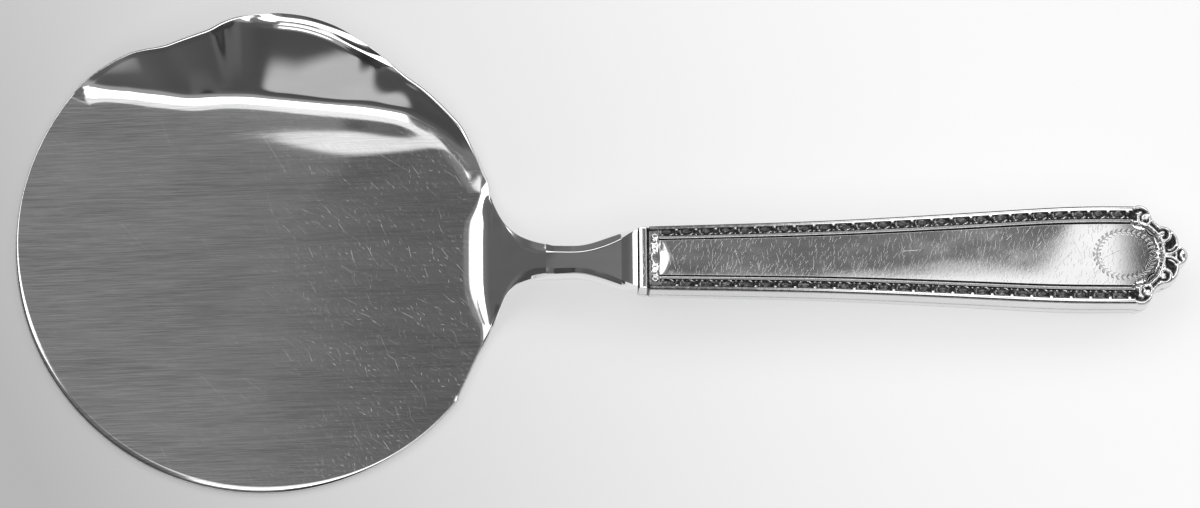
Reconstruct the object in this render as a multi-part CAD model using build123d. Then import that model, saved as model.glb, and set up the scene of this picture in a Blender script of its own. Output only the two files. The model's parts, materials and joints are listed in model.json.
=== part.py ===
from build123d import *
import math
import os

os.makedirs("parts", exist_ok=True)

# A flat round server for sliced cranberry jelly, as it lies on a table.
# All lengths are millimetres. The origin is the centre of the round blade on its flat underside,
# +X runs along the handle to its tip, +Y to the raised lip and +Z up.

# Blade sheet and its raised lip
blade_radius = 44.8
sheet = 1.4
rim_round = 0.2
lip_rise = 10.9
lip_start_angle = 141.0
lip_end_angle = 12.0

# Lip stations between its two ends, from the left round to the neck. The first number is the angle about
# the blade's centre, in degrees. The next three are shares of the blade's radius: where the bend starts,
# where the fold's corner would be, and the rim's edge. The next is the rim's share of the rise, then come
# the rim's slope in degrees and the length of its straight flare as a share of the radius.
lip_shares = [
    (137, 0.870, 0.915, 0.990, 0.075, 24, 0.025),
    (133, 0.805, 0.868, 0.975, 0.17, 32, 0.030),
    (125, 0.690, 0.760, 0.941, 0.39, 38, 0.040),
    (115, 0.612, 0.682, 0.880, 0.62, 38, 0.060),
    (105, 0.558, 0.634, 0.868, 0.81, 26, 0.075),
    (95, 0.527, 0.611, 0.899, 0.96, 16, 0.090),
    (84, 0.505, 0.604, 0.910, 1.00, 12, 0.095),
    (72, 0.488, 0.614, 0.907, 0.97, 14, 0.090),
    (60, 0.492, 0.650, 0.886, 0.86, 24, 0.075),
    (50, 0.536, 0.712, 0.864, 0.67, 42, 0.055),
    (40, 0.625, 0.799, 0.891, 0.42, 58, 0.035),
    (30, 0.725, 0.855, 0.915, 0.27, 60, 0.020),
    (20, 0.815, 0.880, 0.922, 0.18, 50, 0.015),
]
lip_root_share = 0.94

# Straight right side of the blade, from a soft corner on its circle to the neck
soft_corner_angle = -38.9
lip_side_slope = 64.8
neck_side_slope = 11.3

# Cranked neck, from the blade's bend up to the level rod. Its places are counted from the blade's circle.
bend_inside_rim = 7.3
bend_length = 3.0
corner_inside_rim = 0.6
rod_beyond_rim = 7.2
facet_inside_rim = 2.2
facet_length = 6.9
mouth_beyond_rim = 22.1
neck_edge_rise = 0.85
neck_slope = 30.0
bend_reach = 1.4
crank_reach = 5.0
rod_width = 6.2
rod_depth = 5.2
lip_side_fillet = 8.0
plain_side_fillet = 3.5
facet_start_width = 9.2
facet_lift = 0.3
bevel_width = 1.55
bevel_depth = 1.2

# Bolster, where the neck flares to the handle's mouth, by how far each section lies before the mouth
bolster_start = 9.5
bolster_middle = 4.2
bolster_middle_width = 9.4
bolster_middle_depth = 5.7
bolster_flare = 1.6
bolster_flare_width = 10.8
bolster_flare_depth = 7.4
bolster_bevel = 0.5
mouth_gap = 0.08

# Handle: two struck half shells, in the handle's own frame. Its origin is the middle of the mouth,
# its first axis runs to the tip, and the halves meet in its level middle plane.
handle_length = 98.5
handle_offset = -4.7
handle_droop = 1.5
mouth_width = 11.2
butt_width = 17.4
mouth_depth = 9.0
butt_depth = 11.8
tip_depth = 9.4
side_bulge = 0.35
shell_wall = 0.8
solder_film = 0.12
collar_length = 1.9
collar_groove = 0.3

# Places along the handle's side, as shares of its length, with the share of the widening reached there
side_shares = [(0.18, 0.13), (0.36, 0.30), (0.51, 0.52), (0.66, 0.78), (0.80, 0.98)]
# The same for its depth, up to where the butt falls away to the tip
depth_shares = [(0.25, 0.25), (0.50, 0.60), (0.70, 0.90), (0.84, 1.00)]

# The butt end's outline, counted back from the tip: corner scrolls, shell scrolls and a bead
end_before_tip = 9.6
corner_before_tip = 6.9
corner_width = 14.0
corner_swell = 0.9
notch_before_tip = 4.7
notch_width = 10.1
notch_hollow = 0.35
shell_before_tip = 1.7
shell_width = 3.3
shell_swell = 0.95
bead_swell = 0.42

# Ornamental border and panel line, struck into both faces
border_rim = 0.55
border_band = 2.1
border_depth = 0.3
border_start = 3.8
panel_gap = 0.25
panel_line = 0.3
panel_line_depth = 0.2
panel_start = 2.7
arch_rise = 4.4

# Inside the handle
cavity_before_tip = 4.5
tang_length = 58.0
tang_width = 5.0
tang_depth = 3.4
tang_end_width = 3.2
tang_end_depth = 2.2
tang_fit = 0.05
filler_fit = 0.05
filler_start = 0.5

# How far cutting shapes run past what they cut, and how exactly places on curves are found
overrun = 4.0
level_limit = 0.001
curve_steps = 400

# Places that follow from the sizes above
neck_bend_x = blade_radius - bend_inside_rim
neck_edge_x = neck_bend_x + bend_length
neck_corner_x = blade_radius - corner_inside_rim
facet_start_x = blade_radius - facet_inside_rim
facet_full_x = facet_start_x + facet_length
rod_x = blade_radius + rod_beyond_rim
mouth_x = blade_radius + mouth_beyond_rim
end_station = handle_length - end_before_tip
cavity_end = handle_length - cavity_before_tip


def top_curve(lowered):
    """The handle's face along its length, seen from the side, lowered by a distance."""
    half_mouth = mouth_depth / 2 - lowered
    deepening = (butt_depth - mouth_depth) / 2
    points = [Vector(0, 0, half_mouth)]
    for station_share, depth_share in depth_shares:
        points.append(Vector(station_share * handle_length, 0, half_mouth + depth_share * deepening))
    points.append(Vector(handle_length, 0, tip_depth / 2 - lowered))
    return Spline(*points)


def resting_height():
    """How high the mouth's middle lies when the butt rests level with the blade's underside."""
    turn = math.radians(handle_droop)
    curve = top_curve(0)
    places = [curve @ (step / curve_steps) for step in range(curve_steps + 1)]
    return max(place.X * math.sin(turn) + place.Z * math.cos(turn) for place in places)


mouth_height = resting_height()
handle_place = Location((mouth_x, handle_offset, mouth_height), (0, handle_droop, 0))


def polar_point(radius, height, angle):
    """A point at a radius and height in the upright plane that stands at an angle."""
    turn = math.radians(angle)
    return Vector(radius * math.cos(turn), radius * math.sin(turn), height)


def offset_points(points, distance):
    """The control points of a curve beside another, set off to its left by a distance."""
    shifted = []
    for index, (x, y) in enumerate(points):
        before = points[max(index - 1, 0)]
        after = points[min(index + 1, len(points) - 1)]
        run_x = after[0] - before[0]
        run_y = after[1] - before[1]
        length = math.hypot(run_x, run_y)
        shifted.append((x - distance * run_y / length, y + distance * run_x / length))
    return shifted


def bend_points(start, fold, edge, rise, slope, flare):
    """Four control points: level at the start, then up, leaving the rim at its slope."""
    turn = math.radians(slope)
    before_rim = (edge - flare * math.cos(turn), rise - flare * math.sin(turn))
    return [(start, 0), (fold, 0), before_rim, (edge, rise)]


# The bend that lifts the sheet into the neck, seen from the side
bend_under = bend_points(
    neck_bend_x, neck_bend_x + bend_reach, neck_edge_x, neck_edge_rise, neck_slope, bend_reach
)
bend_over = offset_points(bend_under, sheet)


def lip_section(angle, lower, upper, roundness):
    """One upright slice through the lip, from its lower and upper control points, with a rounded rim."""
    under = Bezier(*[polar_point(radius, height, angle) for radius, height in lower])
    over = Bezier(*[polar_point(radius, height, angle) for radius, height in upper])
    across = (under @ 1) - (over @ 1)
    outward = across.cross(polar_point(1, 0, angle + 90)).normalized()
    crown = ((under @ 1) + (over @ 1)) / 2 + outward * roundness
    rim = ThreePointArc(under @ 1, crown, over @ 1)
    root = Line(over @ 0, under @ 0)
    return Wire([under, rim, over, root])


def lip_start_section():
    """The first slice, still flat, where the fold runs out at the rim."""
    root = lip_root_share * blade_radius
    step = (blade_radius - rim_round - root) / 3
    lower = [(root + step * index, 0) for index in range(4)]
    return lip_section(lip_start_angle, lower, offset_points(lower, sheet), rim_round)


def lip_end_section():
    """The last slice, which is the neck's own bend, seen in the lip's slanting plane."""
    stretch = 1 / math.cos(math.radians(lip_end_angle))
    lower = [(x * stretch, height) for x, height in bend_under]
    upper = [(x * stretch, height) for x, height in bend_over]
    return lip_section(lip_end_angle, lower, upper, level_limit)


def raised_lip():
    """The lip: a concave fold, a wall and an outward flare, in slices that turn about the blade's centre."""
    sections = [lip_start_section()]
    for angle, start, fold, edge, rise, slope, flare in lip_shares:
        lower = bend_points(
            start * blade_radius,
            fold * blade_radius,
            edge * blade_radius - rim_round,
            rise * lip_rise,
            slope,
            flare * blade_radius,
        )
        sections.append(lip_section(angle, lower, offset_points(lower, sheet), rim_round))
    sections.append(lip_end_section())
    return Solid.make_loft(sections, False)


def side_start():
    """The soft corner where the circle ends and the straight right side begins."""
    return polar_point(blade_radius - rim_round, 0, soft_corner_angle)


def side_point(x):
    """The point at x on the straight right side below the neck."""
    start = side_start()
    share = (x - start.X) / (neck_corner_x - start.X)
    plain_side = handle_offset - rod_width / 2
    return Vector(x, start.Y + share * (plain_side - start.Y), 0)


def rim_band():
    """The flat band along the blade's circle, the lip's first slice turned about the blade's centre."""
    sweep = soft_corner_angle + 360 - lip_start_angle
    return revolve(Face(lip_start_section()), axis=Axis.Z, revolution_arc=sweep)


def flat_disc(lip):
    """The flat inner part of the blade, bounded by the lip's root, the rim band and the neck's bend."""
    level = lip.edges().filter_by(lambda edge: max(abs((edge @ 0).Z), abs((edge @ 1).Z)) < level_limit)
    root = level.sort_by(lambda edge: edge.length)[-1]
    turn = math.radians(lip_end_angle)
    bend_end = Vector(neck_bend_x, neck_bend_x * math.tan(turn), 0)
    band_radius = lip_root_share * blade_radius
    band_start = polar_point(band_radius, 0, lip_start_angle)
    band_middle = polar_point(band_radius, 0, (lip_start_angle + soft_corner_angle + 360) / 2)
    band_end = polar_point(band_radius, 0, soft_corner_angle)
    soft_corner = side_point(side_start().X)
    outline = [
        root,
        ThreePointArc(band_start, band_middle, band_end),
        Line(band_end, soft_corner),
        Line(soft_corner, side_point(neck_bend_x)),
        Line(side_point(neck_bend_x), bend_end),
    ]
    return extrude(Face(Wire(outline)), amount=sheet, dir=(0, 0, 1))


def meeting_point(start, slope, other, other_slope):
    """Where two falling lines meet in plan, each given by a point and its slope in degrees."""
    fall = math.tan(math.radians(slope))
    other_fall = math.tan(math.radians(other_slope))
    x = (start.Y - other.Y + fall * start.X - other_fall * other.X) / (fall - other_fall)
    return Vector(x, start.Y - fall * (x - start.X), 0)


def neck_plan():
    """The neck seen from above: a fishtail that narrows to the rod through two unlike fillets."""
    turn = math.radians(lip_end_angle)
    bend_end = Vector(neck_bend_x, neck_bend_x * math.tan(turn), 0)
    rim_end = Vector(neck_edge_x, neck_edge_x * math.tan(turn), 0)
    lip_side_end = Vector(rod_x, handle_offset + rod_width / 2, 0)
    plain_side_end = Vector(rod_x, handle_offset - rod_width / 2, 0)
    lip_corner = meeting_point(rim_end, lip_side_slope, lip_side_end, neck_side_slope)
    plain_corner = Vector(neck_corner_x, plain_side_end.Y, 0)
    corners = [
        bend_end,
        side_point(neck_bend_x),
        plain_corner,
        plain_side_end,
        lip_side_end,
        lip_corner,
        rim_end,
    ]
    plan = make_face(Polyline(*corners, close=True))
    plan = fillet(plan.vertices().sort_by_distance(plain_corner)[0], plain_side_fillet)
    return fillet(plan.vertices().sort_by_distance(lip_corner)[0], lip_side_fillet)


def side_curve(points):
    """A curve in the upright plane along the handle, from its control points."""
    return Bezier(*[Vector(x, 0, height) for x, height in points])


def crank_points(bend, height):
    """The rest of the neck's side, from the end of its bend up to the level rod."""
    start_x, start_height = bend[-1]
    turn = math.radians(neck_slope)
    reach_x = start_x + crank_reach * math.cos(turn)
    reach_height = start_height + crank_reach * math.sin(turn)
    return [(start_x, start_height), (reach_x, reach_height), (rod_x - crank_reach, height), (rod_x, height)]


def crank_curve(face):
    """The neck's top, where face is +1, or its underside, where it is -1."""
    bend = bend_over if face > 0 else bend_under
    return side_curve(crank_points(bend, mouth_height + face * rod_depth / 2))


def height_on(curve, x):
    """The height of a rising side curve at x."""
    places = [curve @ (step / curve_steps) for step in range(curve_steps + 1)]
    return min(places, key=lambda place: abs(place.X - x)).Z


def facet_cutter(side, face):
    """A wedge that slants one long edge of the neck: side +1 is the lip's side, face +1 the top."""
    curve = crank_curve(face)
    full_ridge = rod_width / 2 - bevel_width
    stations = [
        (facet_start_x, facet_start_width / 2, 0, facet_lift),
        (facet_full_x, full_ridge, bevel_depth, 0),
        (rod_x, full_ridge, bevel_depth, 0),
        (rod_x + overrun, full_ridge, bevel_depth, 0),
    ]
    reach = (rod_width + overrun) / bevel_width
    sections = []
    for x, ridge_width, drop, lift in stations:
        height = height_on(curve, min(x, rod_x)) + face * lift
        ridge = Vector(x, handle_offset + side * ridge_width, height)
        run = Vector(0, side * bevel_width, -face * drop)
        clear = Vector(0, side * overrun, face * overrun)
        inner = ridge - run
        outer = ridge + run * reach
        sections.append(Wire(Polyline(inner, outer, outer + clear, inner + clear, close=True).edges()))
    return Solid.make_loft(sections, True)


def neck():
    """The cranked neck: its side profile cut by its plan, with four slanted facets."""
    under = [side_curve(bend_under), crank_curve(-1)]
    over = [crank_curve(1), side_curve(bend_over)]
    rod_end = Line(under[-1] @ 1, over[0] @ 1)
    sheet_end = Line(over[-1] @ 0, under[0] @ 0)
    profile = Face(Wire([*under, rod_end, *over, sheet_end])).moved(Location((0, -blade_radius, 0)))
    solid = extrude(neck_plan(), amount=butt_depth, dir=(0, 0, 1))
    solid &= extrude(profile, amount=2 * blade_radius, dir=(0, 1, 0))
    for side in (1, -1):
        for face in (1, -1):
            solid -= facet_cutter(side, face)
    return solid


def closed_slice(place, corners):
    """A flat closed slice square to a place's first axis, from corners across and up."""
    points = [(place * Location((0, across, up))).position for across, up in corners]
    return Wire(Polyline(*points, close=True).edges())


def octagon(place, width, depth, bevel_across, bevel_down):
    """An eight-sided slice of the rod or the bolster."""
    flat = width / 2 - bevel_across
    flank = depth / 2 - bevel_down
    quarter = [(flat, depth / 2), (width / 2, flank)]
    right = quarter + [(across, -up) for across, up in reversed(quarter)]
    left = [(-across, up) for across, up in reversed(right)]
    return closed_slice(place, right + left)


def bolster():
    """The rod's eight-sided section, opening out to the handle's mouth."""
    rod_start = Location((rod_x, handle_offset, mouth_height))
    sections = [octagon(rod_start, rod_width, rod_depth, bevel_width, bevel_depth)]
    for before, width, depth, across, down in (
        (bolster_start + rod_width / 2, rod_width, rod_depth, bevel_width, bevel_depth),
        (bolster_start, rod_width, rod_depth, bevel_width, bevel_depth),
        (bolster_middle, bolster_middle_width, bolster_middle_depth, bevel_width, bevel_depth),
        (bolster_flare, bolster_flare_width, bolster_flare_depth, bolster_bevel, bolster_bevel),
        (mouth_gap, mouth_width, mouth_depth, bolster_bevel, bolster_bevel),
    ):
        sections.append(octagon(handle_place * Location((-before, 0, 0)), width, depth, across, down))
    return Solid.make_loft(sections, False)


def tang(fit):
    """The bar inside the handle, tapering from the bolster, with a fit added all round."""
    sections = []
    for station, width, depth in (
        (-bolster_flare, tang_width, tang_depth),
        (tang_length + fit, tang_end_width, tang_end_depth),
    ):
        across = width / 2 + fit
        up = depth / 2 + fit
        corners = [(across, up), (across, -up), (-across, -up), (-across, up)]
        sections.append(closed_slice(Location((station, 0, 0)), corners))
    return Solid.make_loft(sections, True)


def blade():
    """Disc, lip, neck, bolster and tang are one steel forging."""
    lip = raised_lip()
    solid = lip + rim_band() + flat_disc(lip)
    solid += neck()
    solid += bolster()
    return solid + tang(0).moved(handle_place)


def side_edge(inset, side):
    """One long side of the handle's face outline, set in by an inset. Side is +1 or -1."""
    half_mouth = mouth_width / 2 - inset
    widening = (butt_width - mouth_width) / 2
    points = [Vector(0, side * half_mouth)]
    for station_share, widening_share in side_shares:
        width = half_mouth + widening_share * widening
        points.append(Vector(station_share * handle_length, side * width))
    points.append(Vector(end_station, side * (butt_width / 2 - inset)))
    return Spline(*points, tangents=[points[1] - points[0], Vector(1, 0)])


def end_point(station, half_width, inset):
    """A point on the butt end's outline, drawn in towards the end's middle by an inset."""
    shrink = 1 - inset / (butt_width / 2)
    return (end_station + (station - end_station) * shrink, half_width * shrink)


def swollen_middle(start, end, swell):
    """The middle of an arc that swells to the left of its run, or hollows where swell is negative."""
    run_x = end[0] - start[0]
    run_y = end[1] - start[1]
    length = math.hypot(run_x, run_y)
    across = swell / length
    return ((start[0] + end[0]) / 2 - across * run_y, (start[1] + end[1]) / 2 + across * run_x)


def end_arcs(inset, side):
    """The butt end on one side: a corner scroll, a hollow, a shell scroll and half of the tip's bead."""
    places = [
        end_point(end_station, butt_width / 2, inset),
        end_point(handle_length - corner_before_tip, corner_width / 2, inset),
        end_point(handle_length - notch_before_tip, notch_width / 2, inset),
        end_point(handle_length - shell_before_tip, shell_width / 2, inset),
        end_point(handle_length, 0, inset),
    ]
    swells = [corner_swell, -notch_hollow, shell_swell, bead_swell]
    arcs = []
    for start, end, swell in zip(places, places[1:], swells):
        middle = swollen_middle(start, end, swell)
        arcs.append(ThreePointArc(*[(x, side * y) for x, y in (start, middle, end)]))
    return arcs


def handle_outline(inset, height):
    """The whole outline of the handle's face, set in by an inset, at a height over the middle plane."""
    upper = [side_edge(inset, 1), *end_arcs(inset, 1)]
    lower = [*reversed(end_arcs(inset, -1)), side_edge(inset, -1)]
    mouth = Line(lower[-1] @ 0, upper[0] @ 0)
    return Wire([*upper, *lower, mouth]).moved(Location((0, 0, height)))


def side_prism(edges):
    """A side view of the handle, drawn out across more than its full width."""
    across = butt_width / 2 + overrun
    view = Face(Wire(edges)).moved(Location((0, -across, 0)))
    return extrude(view, amount=2 * across, dir=(0, 1, 0))


def face_prism(lowered, base):
    """Everything between a level base and the face's own curve, lowered by a distance."""
    top = top_curve(lowered)
    start = Vector(0, 0, base)
    end = Vector(handle_length, 0, base)
    return side_prism([Line(start, end), Line(end, top @ 1), top, Line(top @ 0, start)])


def outer_half():
    """The outside of one half of the handle, its side walls leaning in towards the face."""
    face_height = mouth_depth / 2
    full_height = butt_depth / 2 + overrun
    full_inset = side_bulge * (full_height - face_height) / face_height
    walls = Solid.make_loft([handle_outline(-side_bulge, 0), handle_outline(full_inset, full_height)], True)
    return walls & face_prism(0, solder_film / 2)


def inner_plan(inset, end):
    """An outline inside the handle's face, set in by an inset, with a plain round end."""
    upper = side_edge(inset, 1)
    lower = side_edge(inset, -1)
    arch = ThreePointArc(upper @ 1, (end, 0), lower @ 1)
    return Face(Wire([upper, arch, lower, Line(lower @ 0, upper @ 0)]))


def plan_prism(plan):
    """A plan drawn up past the handle's face."""
    return extrude(plan, amount=butt_depth, dir=(0, 0, 1))


def station_slab(start, end):
    """A slab right across the handle between two stations."""
    across = butt_width + 2 * overrun
    slab = Box(end - start, across, 2 * butt_depth, align=(Align.MIN, Align.CENTER, Align.CENTER))
    return slab.moved(Location((start, 0, 0)))


def border_channels():
    """The two sunk bands along a face's edges that carry the repeating ornament."""
    outer = plan_prism(inner_plan(border_rim, cavity_end))
    inner = plan_prism(inner_plan(border_rim + border_band, cavity_end))
    bands = (outer - inner) & station_slab(border_start, end_station)
    return bands & face_prism(border_depth, butt_depth)


def panel_ring():
    """The fine sunk line round the plain field, arched at the butt."""
    inset = border_rim + border_band + panel_gap
    arch_end = end_station + arch_rise
    outer = plan_prism(inner_plan(inset, arch_end)) & station_slab(panel_start, handle_length)
    inner = plan_prism(inner_plan(inset + panel_line, arch_end - panel_line))
    inner &= station_slab(panel_start + panel_line, handle_length)
    return (outer - inner) & face_prism(panel_line_depth, butt_depth)


def collar_line():
    """The groove behind the rounded collar at the handle's mouth."""
    groove = station_slab(collar_length, collar_length + collar_groove)
    return groove & face_prism(panel_line_depth, butt_depth)


def half_shell():
    """One struck half of the handle, hollow behind, with its border and panel lines sunk in."""
    solid = outer_half() - (plan_prism(inner_plan(shell_wall, cavity_end)) & face_prism(shell_wall, 0))
    return solid - border_channels() - panel_ring() - collar_line()


def solder_seam():
    """The film of solder that joins the halves all round, open at the mouth."""
    ring = Face(handle_outline(-side_bulge, 0)) - inner_plan(shell_wall, cavity_end)
    return extrude(ring, amount=solder_film / 2, both=True, dir=(0, 0, 1))


def handle_cement():
    """What fills the handle and holds the tang, a fit smaller than the hollow."""
    inset = shell_wall + filler_fit
    half = plan_prism(inner_plan(inset, cavity_end - filler_fit)) & face_prism(inset, 0)
    solid = (half + mirror(half, Plane.XY)) & station_slab(filler_start, handle_length)
    return solid - tang(tang_fit)


front = half_shell()
export_step(blade(), "parts/blade.step")
export_step(front.moved(handle_place), "parts/handle_front_shell.step")
export_step(mirror(front, Plane.XY).moved(handle_place), "parts/handle_back_shell.step")
export_step(solder_seam().moved(handle_place), "parts/solder_seam.step")
export_step(handle_cement().moved(handle_place), "parts/handle_cement.step")
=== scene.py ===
import json
import math

import bmesh
import bpy
import numpy as np
from mathutils import Euler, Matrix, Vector

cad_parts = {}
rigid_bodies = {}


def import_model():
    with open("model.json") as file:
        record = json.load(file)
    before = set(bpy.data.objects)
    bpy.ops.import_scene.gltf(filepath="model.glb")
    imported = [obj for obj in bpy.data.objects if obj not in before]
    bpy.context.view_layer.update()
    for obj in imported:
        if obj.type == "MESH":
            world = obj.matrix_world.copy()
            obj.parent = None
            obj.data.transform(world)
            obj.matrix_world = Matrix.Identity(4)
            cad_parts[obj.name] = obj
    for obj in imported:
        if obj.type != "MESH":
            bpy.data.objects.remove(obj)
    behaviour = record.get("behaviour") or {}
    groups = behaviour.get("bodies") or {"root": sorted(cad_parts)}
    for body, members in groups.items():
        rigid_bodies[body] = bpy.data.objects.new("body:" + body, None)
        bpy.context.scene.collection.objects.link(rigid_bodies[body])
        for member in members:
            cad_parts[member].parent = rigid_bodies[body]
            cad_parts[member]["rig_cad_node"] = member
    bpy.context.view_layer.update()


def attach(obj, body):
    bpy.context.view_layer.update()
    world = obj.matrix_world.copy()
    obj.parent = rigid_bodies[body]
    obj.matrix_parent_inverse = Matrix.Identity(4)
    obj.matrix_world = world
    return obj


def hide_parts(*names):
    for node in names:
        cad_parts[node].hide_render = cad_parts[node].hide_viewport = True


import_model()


# Camera. It looks almost straight down on the server from the side of the plain rim, through a long lens.
# Camera, light and floor are in metres. The pieces are laid out in millimetres.
view_width = 0.2156
view_distance = 0.90
view_tilt = math.radians(10.0)
view_turn = math.radians(-0.5)
view_centre = Vector((0.0602, -0.0018, 0.0))

camera_data = bpy.data.cameras.new("camera")
camera_data.sensor_width = 36.0
camera_data.lens = camera_data.sensor_width * view_distance / view_width
camera_data.clip_end = 20.0
camera = bpy.data.objects.new("camera", camera_data)
camera.rotation_euler = Euler((view_tilt, 0.0, view_turn))
camera.location = view_centre + camera.rotation_euler.to_matrix() @ Vector((0.0, 0.0, view_distance))
bpy.context.scene.collection.objects.link(camera)
bpy.context.scene.camera = camera


# Light. A studio with a dim ceiling over the table, long bright panels round it and a darker horizon. All of it
# is painted on the world, so that polished metal shows it.
def linear(code):
    """The linear colour of an sRGB hex code, with alpha."""
    shares = [int(code[i:i + 2], 16) / 255.0 for i in (1, 3, 5)]
    return [s / 12.92 if s <= 0.04045 else ((s + 0.055) / 1.055) ** 2.4 for s in shares] + [1.0]


def node(tree, kind, settings=None, *values, **inputs):
    """A new node with its settings, of which an operation may stand alone. Its inputs are set or linked, in order,
    by number (i6) or by name (underscores are spaces). A node given as an input stands for its first output."""
    made = tree.nodes.new("ShaderNode" + kind)
    for name, value in ({"operation": settings} if isinstance(settings, str) else settings or {}).items():
        setattr(made, name, value)
    for name, value in [*enumerate(values), *inputs.items()]:
        if not isinstance(name, int):
            name = int(name[1:]) if name[1:].isdigit() else name.replace("_", " ")
        socket = made.inputs[name]
        value = value.outputs[0] if isinstance(value, bpy.types.Node) else value
        if isinstance(value, bpy.types.NodeSocket):
            tree.links.new(value, socket)
        else:
            socket.default_value = value
    return made


bpy.context.scene.view_settings.view_transform = "Standard"
world = bpy.data.worlds.new("studio")
bpy.context.scene.world = world
world.use_nodes = True
tree = world.node_tree
tree.nodes.clear()
# A place on the ceiling is given by how far it lies across and along, in heights of the ceiling
direction = node(tree, "SeparateXYZ", {}, node(tree, "TexCoord").outputs["Generated"])
up = node(tree, "Math", "MAXIMUM", direction.outputs["Z"], 0.02)
across = node(tree, "Math", "DIVIDE", direction.outputs["X"], up)
along = node(tree, "Math", "DIVIDE", direction.outputs["Y"], up)
smooth = {"interpolation_type": "SMOOTHSTEP"}
# Each panel's four sides, each with its softness: left, right, near and far. Then its light, and whether it
# reaches further back on its right. The first two hang overhead and over the camera's side.
panels = [
    ((-0.25, 0.05), (0.30, 0.05), (-0.32, 0.03), (0.085, 0.016), 1.05, 1.0),
    ((-0.50, 0.03), (0.70, 0.10), (-0.85, 0.04), (-0.30, 0.03), 2.40, 0.0),
    ((-0.60, 0.15), (0.02, 0.04), (-1.40, 0.30), (-0.80, 0.05), 0.34, 0.0),
    ((-1.50, 0.30), (0.05, 0.15), (-7.50, 1.00), (-3.00, 0.35), 0.50, 0.0),
    ((-1.25, 0.02), (-0.30, 0.10), (0.04, 0.03), (1.10, 0.10), 2.40, 0.0),
    ((-1.25, 0.02), (-0.56, 0.05), (-0.16, 0.05), (0.07, 0.03), 2.40, 0.0),
    ((-5.50, 0.60), (-2.60, 0.30), (0.80, 0.30), (2.60, 0.50), 0.13, 0.0),
    ((0.95, 0.08), (1.80, 0.10), (-0.35, 0.05), (1.10, 0.10), 2.10, 0.0),
    ((-1.00, 0.05), (1.20, 0.10), (0.42, 0.06), (1.30, 0.10), 2.00, 0.0),
]
reach_back = node(tree, "MapRange", smooth, across, 0.070, 0.148, 0.0, 0.25)
# The first two are also cut off at a slant on their left: where that starts and ends, and the share left there
slant = node(tree, "Math", "MULTIPLY_ADD", along, -0.36, across)
slant_cuts = {0: (-0.20, -0.14, 0.45), 1: (-0.15, -0.06, 0.0)}
# Between the panels the room is dim. Its light changes across in steps: start, end, light before and after
dim_steps = [
    (-0.075, -0.035, 0.245, 0.095),
    (-0.019, -0.009, 0.0, 0.078),
    (-0.32, -0.15, -0.065, 0.0),
    (0.02, 0.05, 0.0, -0.025),
    (0.20, 0.45, 0.0, -0.06),
]
dim = 0.0
for light_step in dim_steps:
    dim = node(tree, "Math", "ADD", dim, node(tree, "MapRange", smooth, across, *light_step))
# It is darker at the near right, low down, and far over on the camera's side
near_flat = node(tree, "MapRange", smooth, along, 0.155, 0.125)
near_flat = node(tree, "Math", "MULTIPLY", near_flat, node(tree, "MapRange", smooth, across, -0.072, -0.03))
dim = node(tree, "Math", "MULTIPLY_ADD", near_flat, -0.045, dim)
for value, *fall in ((direction.outputs["Z"], 0.30, 0.66, 0.62, 1.0), (along, -0.9, -0.4, 0.60, 1.0)):
    dim = node(tree, "Math", "MULTIPLY", dim, node(tree, "MapRange", smooth, value, *fall))
# Round the room's foot, pale walls show in the other views: right, back and the near right corner
right_wall = node(tree, "MapRange", smooth, along, -0.5, 0.5, 0.55, 1.0)
right_wall = node(tree, "Math", "MULTIPLY", node(tree, "MapRange", smooth, across, 2.0, 4.0), right_wall)
back_wall = node(tree, "MapRange", smooth, along, 2.4, 4.2, 0.0, 0.2)
corner = node(tree, "MapRange", smooth, along, -1.2, -2.2, 0.0, 0.7)
corner = node(tree, "Math", "MULTIPLY", node(tree, "MapRange", smooth, across, 1.7, 2.5), corner)
walls = node(tree, "Math", "MAXIMUM", node(tree, "Math", "MAXIMUM", right_wall, back_wall), corner)
ceiling = node(tree, "Math", "MULTIPLY_ADD", walls, 0.30, dim)
for number, (left, right, near, far, light, back) in enumerate(panels):
    far_side = node(tree, "Math", "MULTIPLY_ADD", reach_back, -back, along)
    shown = light
    for value, (side, soft), ends in ((across, left, (0, 1)), (across, right, (1, 0)),
                                      (along, near, (0, 1)), (far_side, far, (1, 0))):
        edge = node(tree, "MapRange", smooth, value, side - soft, side + soft, *ends)
        shown = node(tree, "Math", "MULTIPLY", shown, edge)
    if number in slant_cuts:
        cut = node(tree, "MapRange", smooth, slant, *slant_cuts[number], 1.0)
        shown = node(tree, "Math", "MULTIPLY", shown, cut)
    ceiling = node(tree, "Math", "MAXIMUM", ceiling, shown)
lit = node(tree, "Background", Color=linear("#ffffff"), Strength=ceiling)
backdrop = node(tree, "Background", Color=linear("#f2f2f2"), Strength=1.0)
mixed = node(tree, "MixShader", {}, node(tree, "LightPath").outputs["Is Camera Ray"], lit, backdrop)
node(tree, "OutputWorld", Surface=mixed)


# Floor: a table laid with pale matt card, which hardly shines and gives an even, soft ground. Its colour is
# painted a little greyer on the left and nearer, a painted falloff of the light.
reach = 6.0
floor_data = bpy.data.meshes.new("floor")
corners = [(-reach, -reach, 0), (reach, -reach, 0), (reach, reach, 0), (-reach, reach, 0)]
floor_data.from_pydata(corners, [], [(0, 1, 2, 3)])
floor = bpy.data.objects.new("floor", floor_data)
floor.location.z = -0.0001
bpy.context.scene.collection.objects.link(floor)
card = bpy.data.materials.new("pale_matt_card")
card.use_nodes = True
tree = card.node_tree
tree.nodes.clear()
place = node(tree, "SeparateXYZ", {}, node(tree, "TexCoord").outputs["Object"])
x, y = place.outputs["X"], place.outputs["Y"]
# Painted falloff: the card's colour turns grey to the left and nearer, standing in for light that falls off
fall = node(tree, "MapRange", smooth, node(tree, "Math", "MULTIPLY_ADD", y, 0.42, x), -0.058, 0.16)
fall = node(tree, "Math", "POWER", fall, 0.5)
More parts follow.
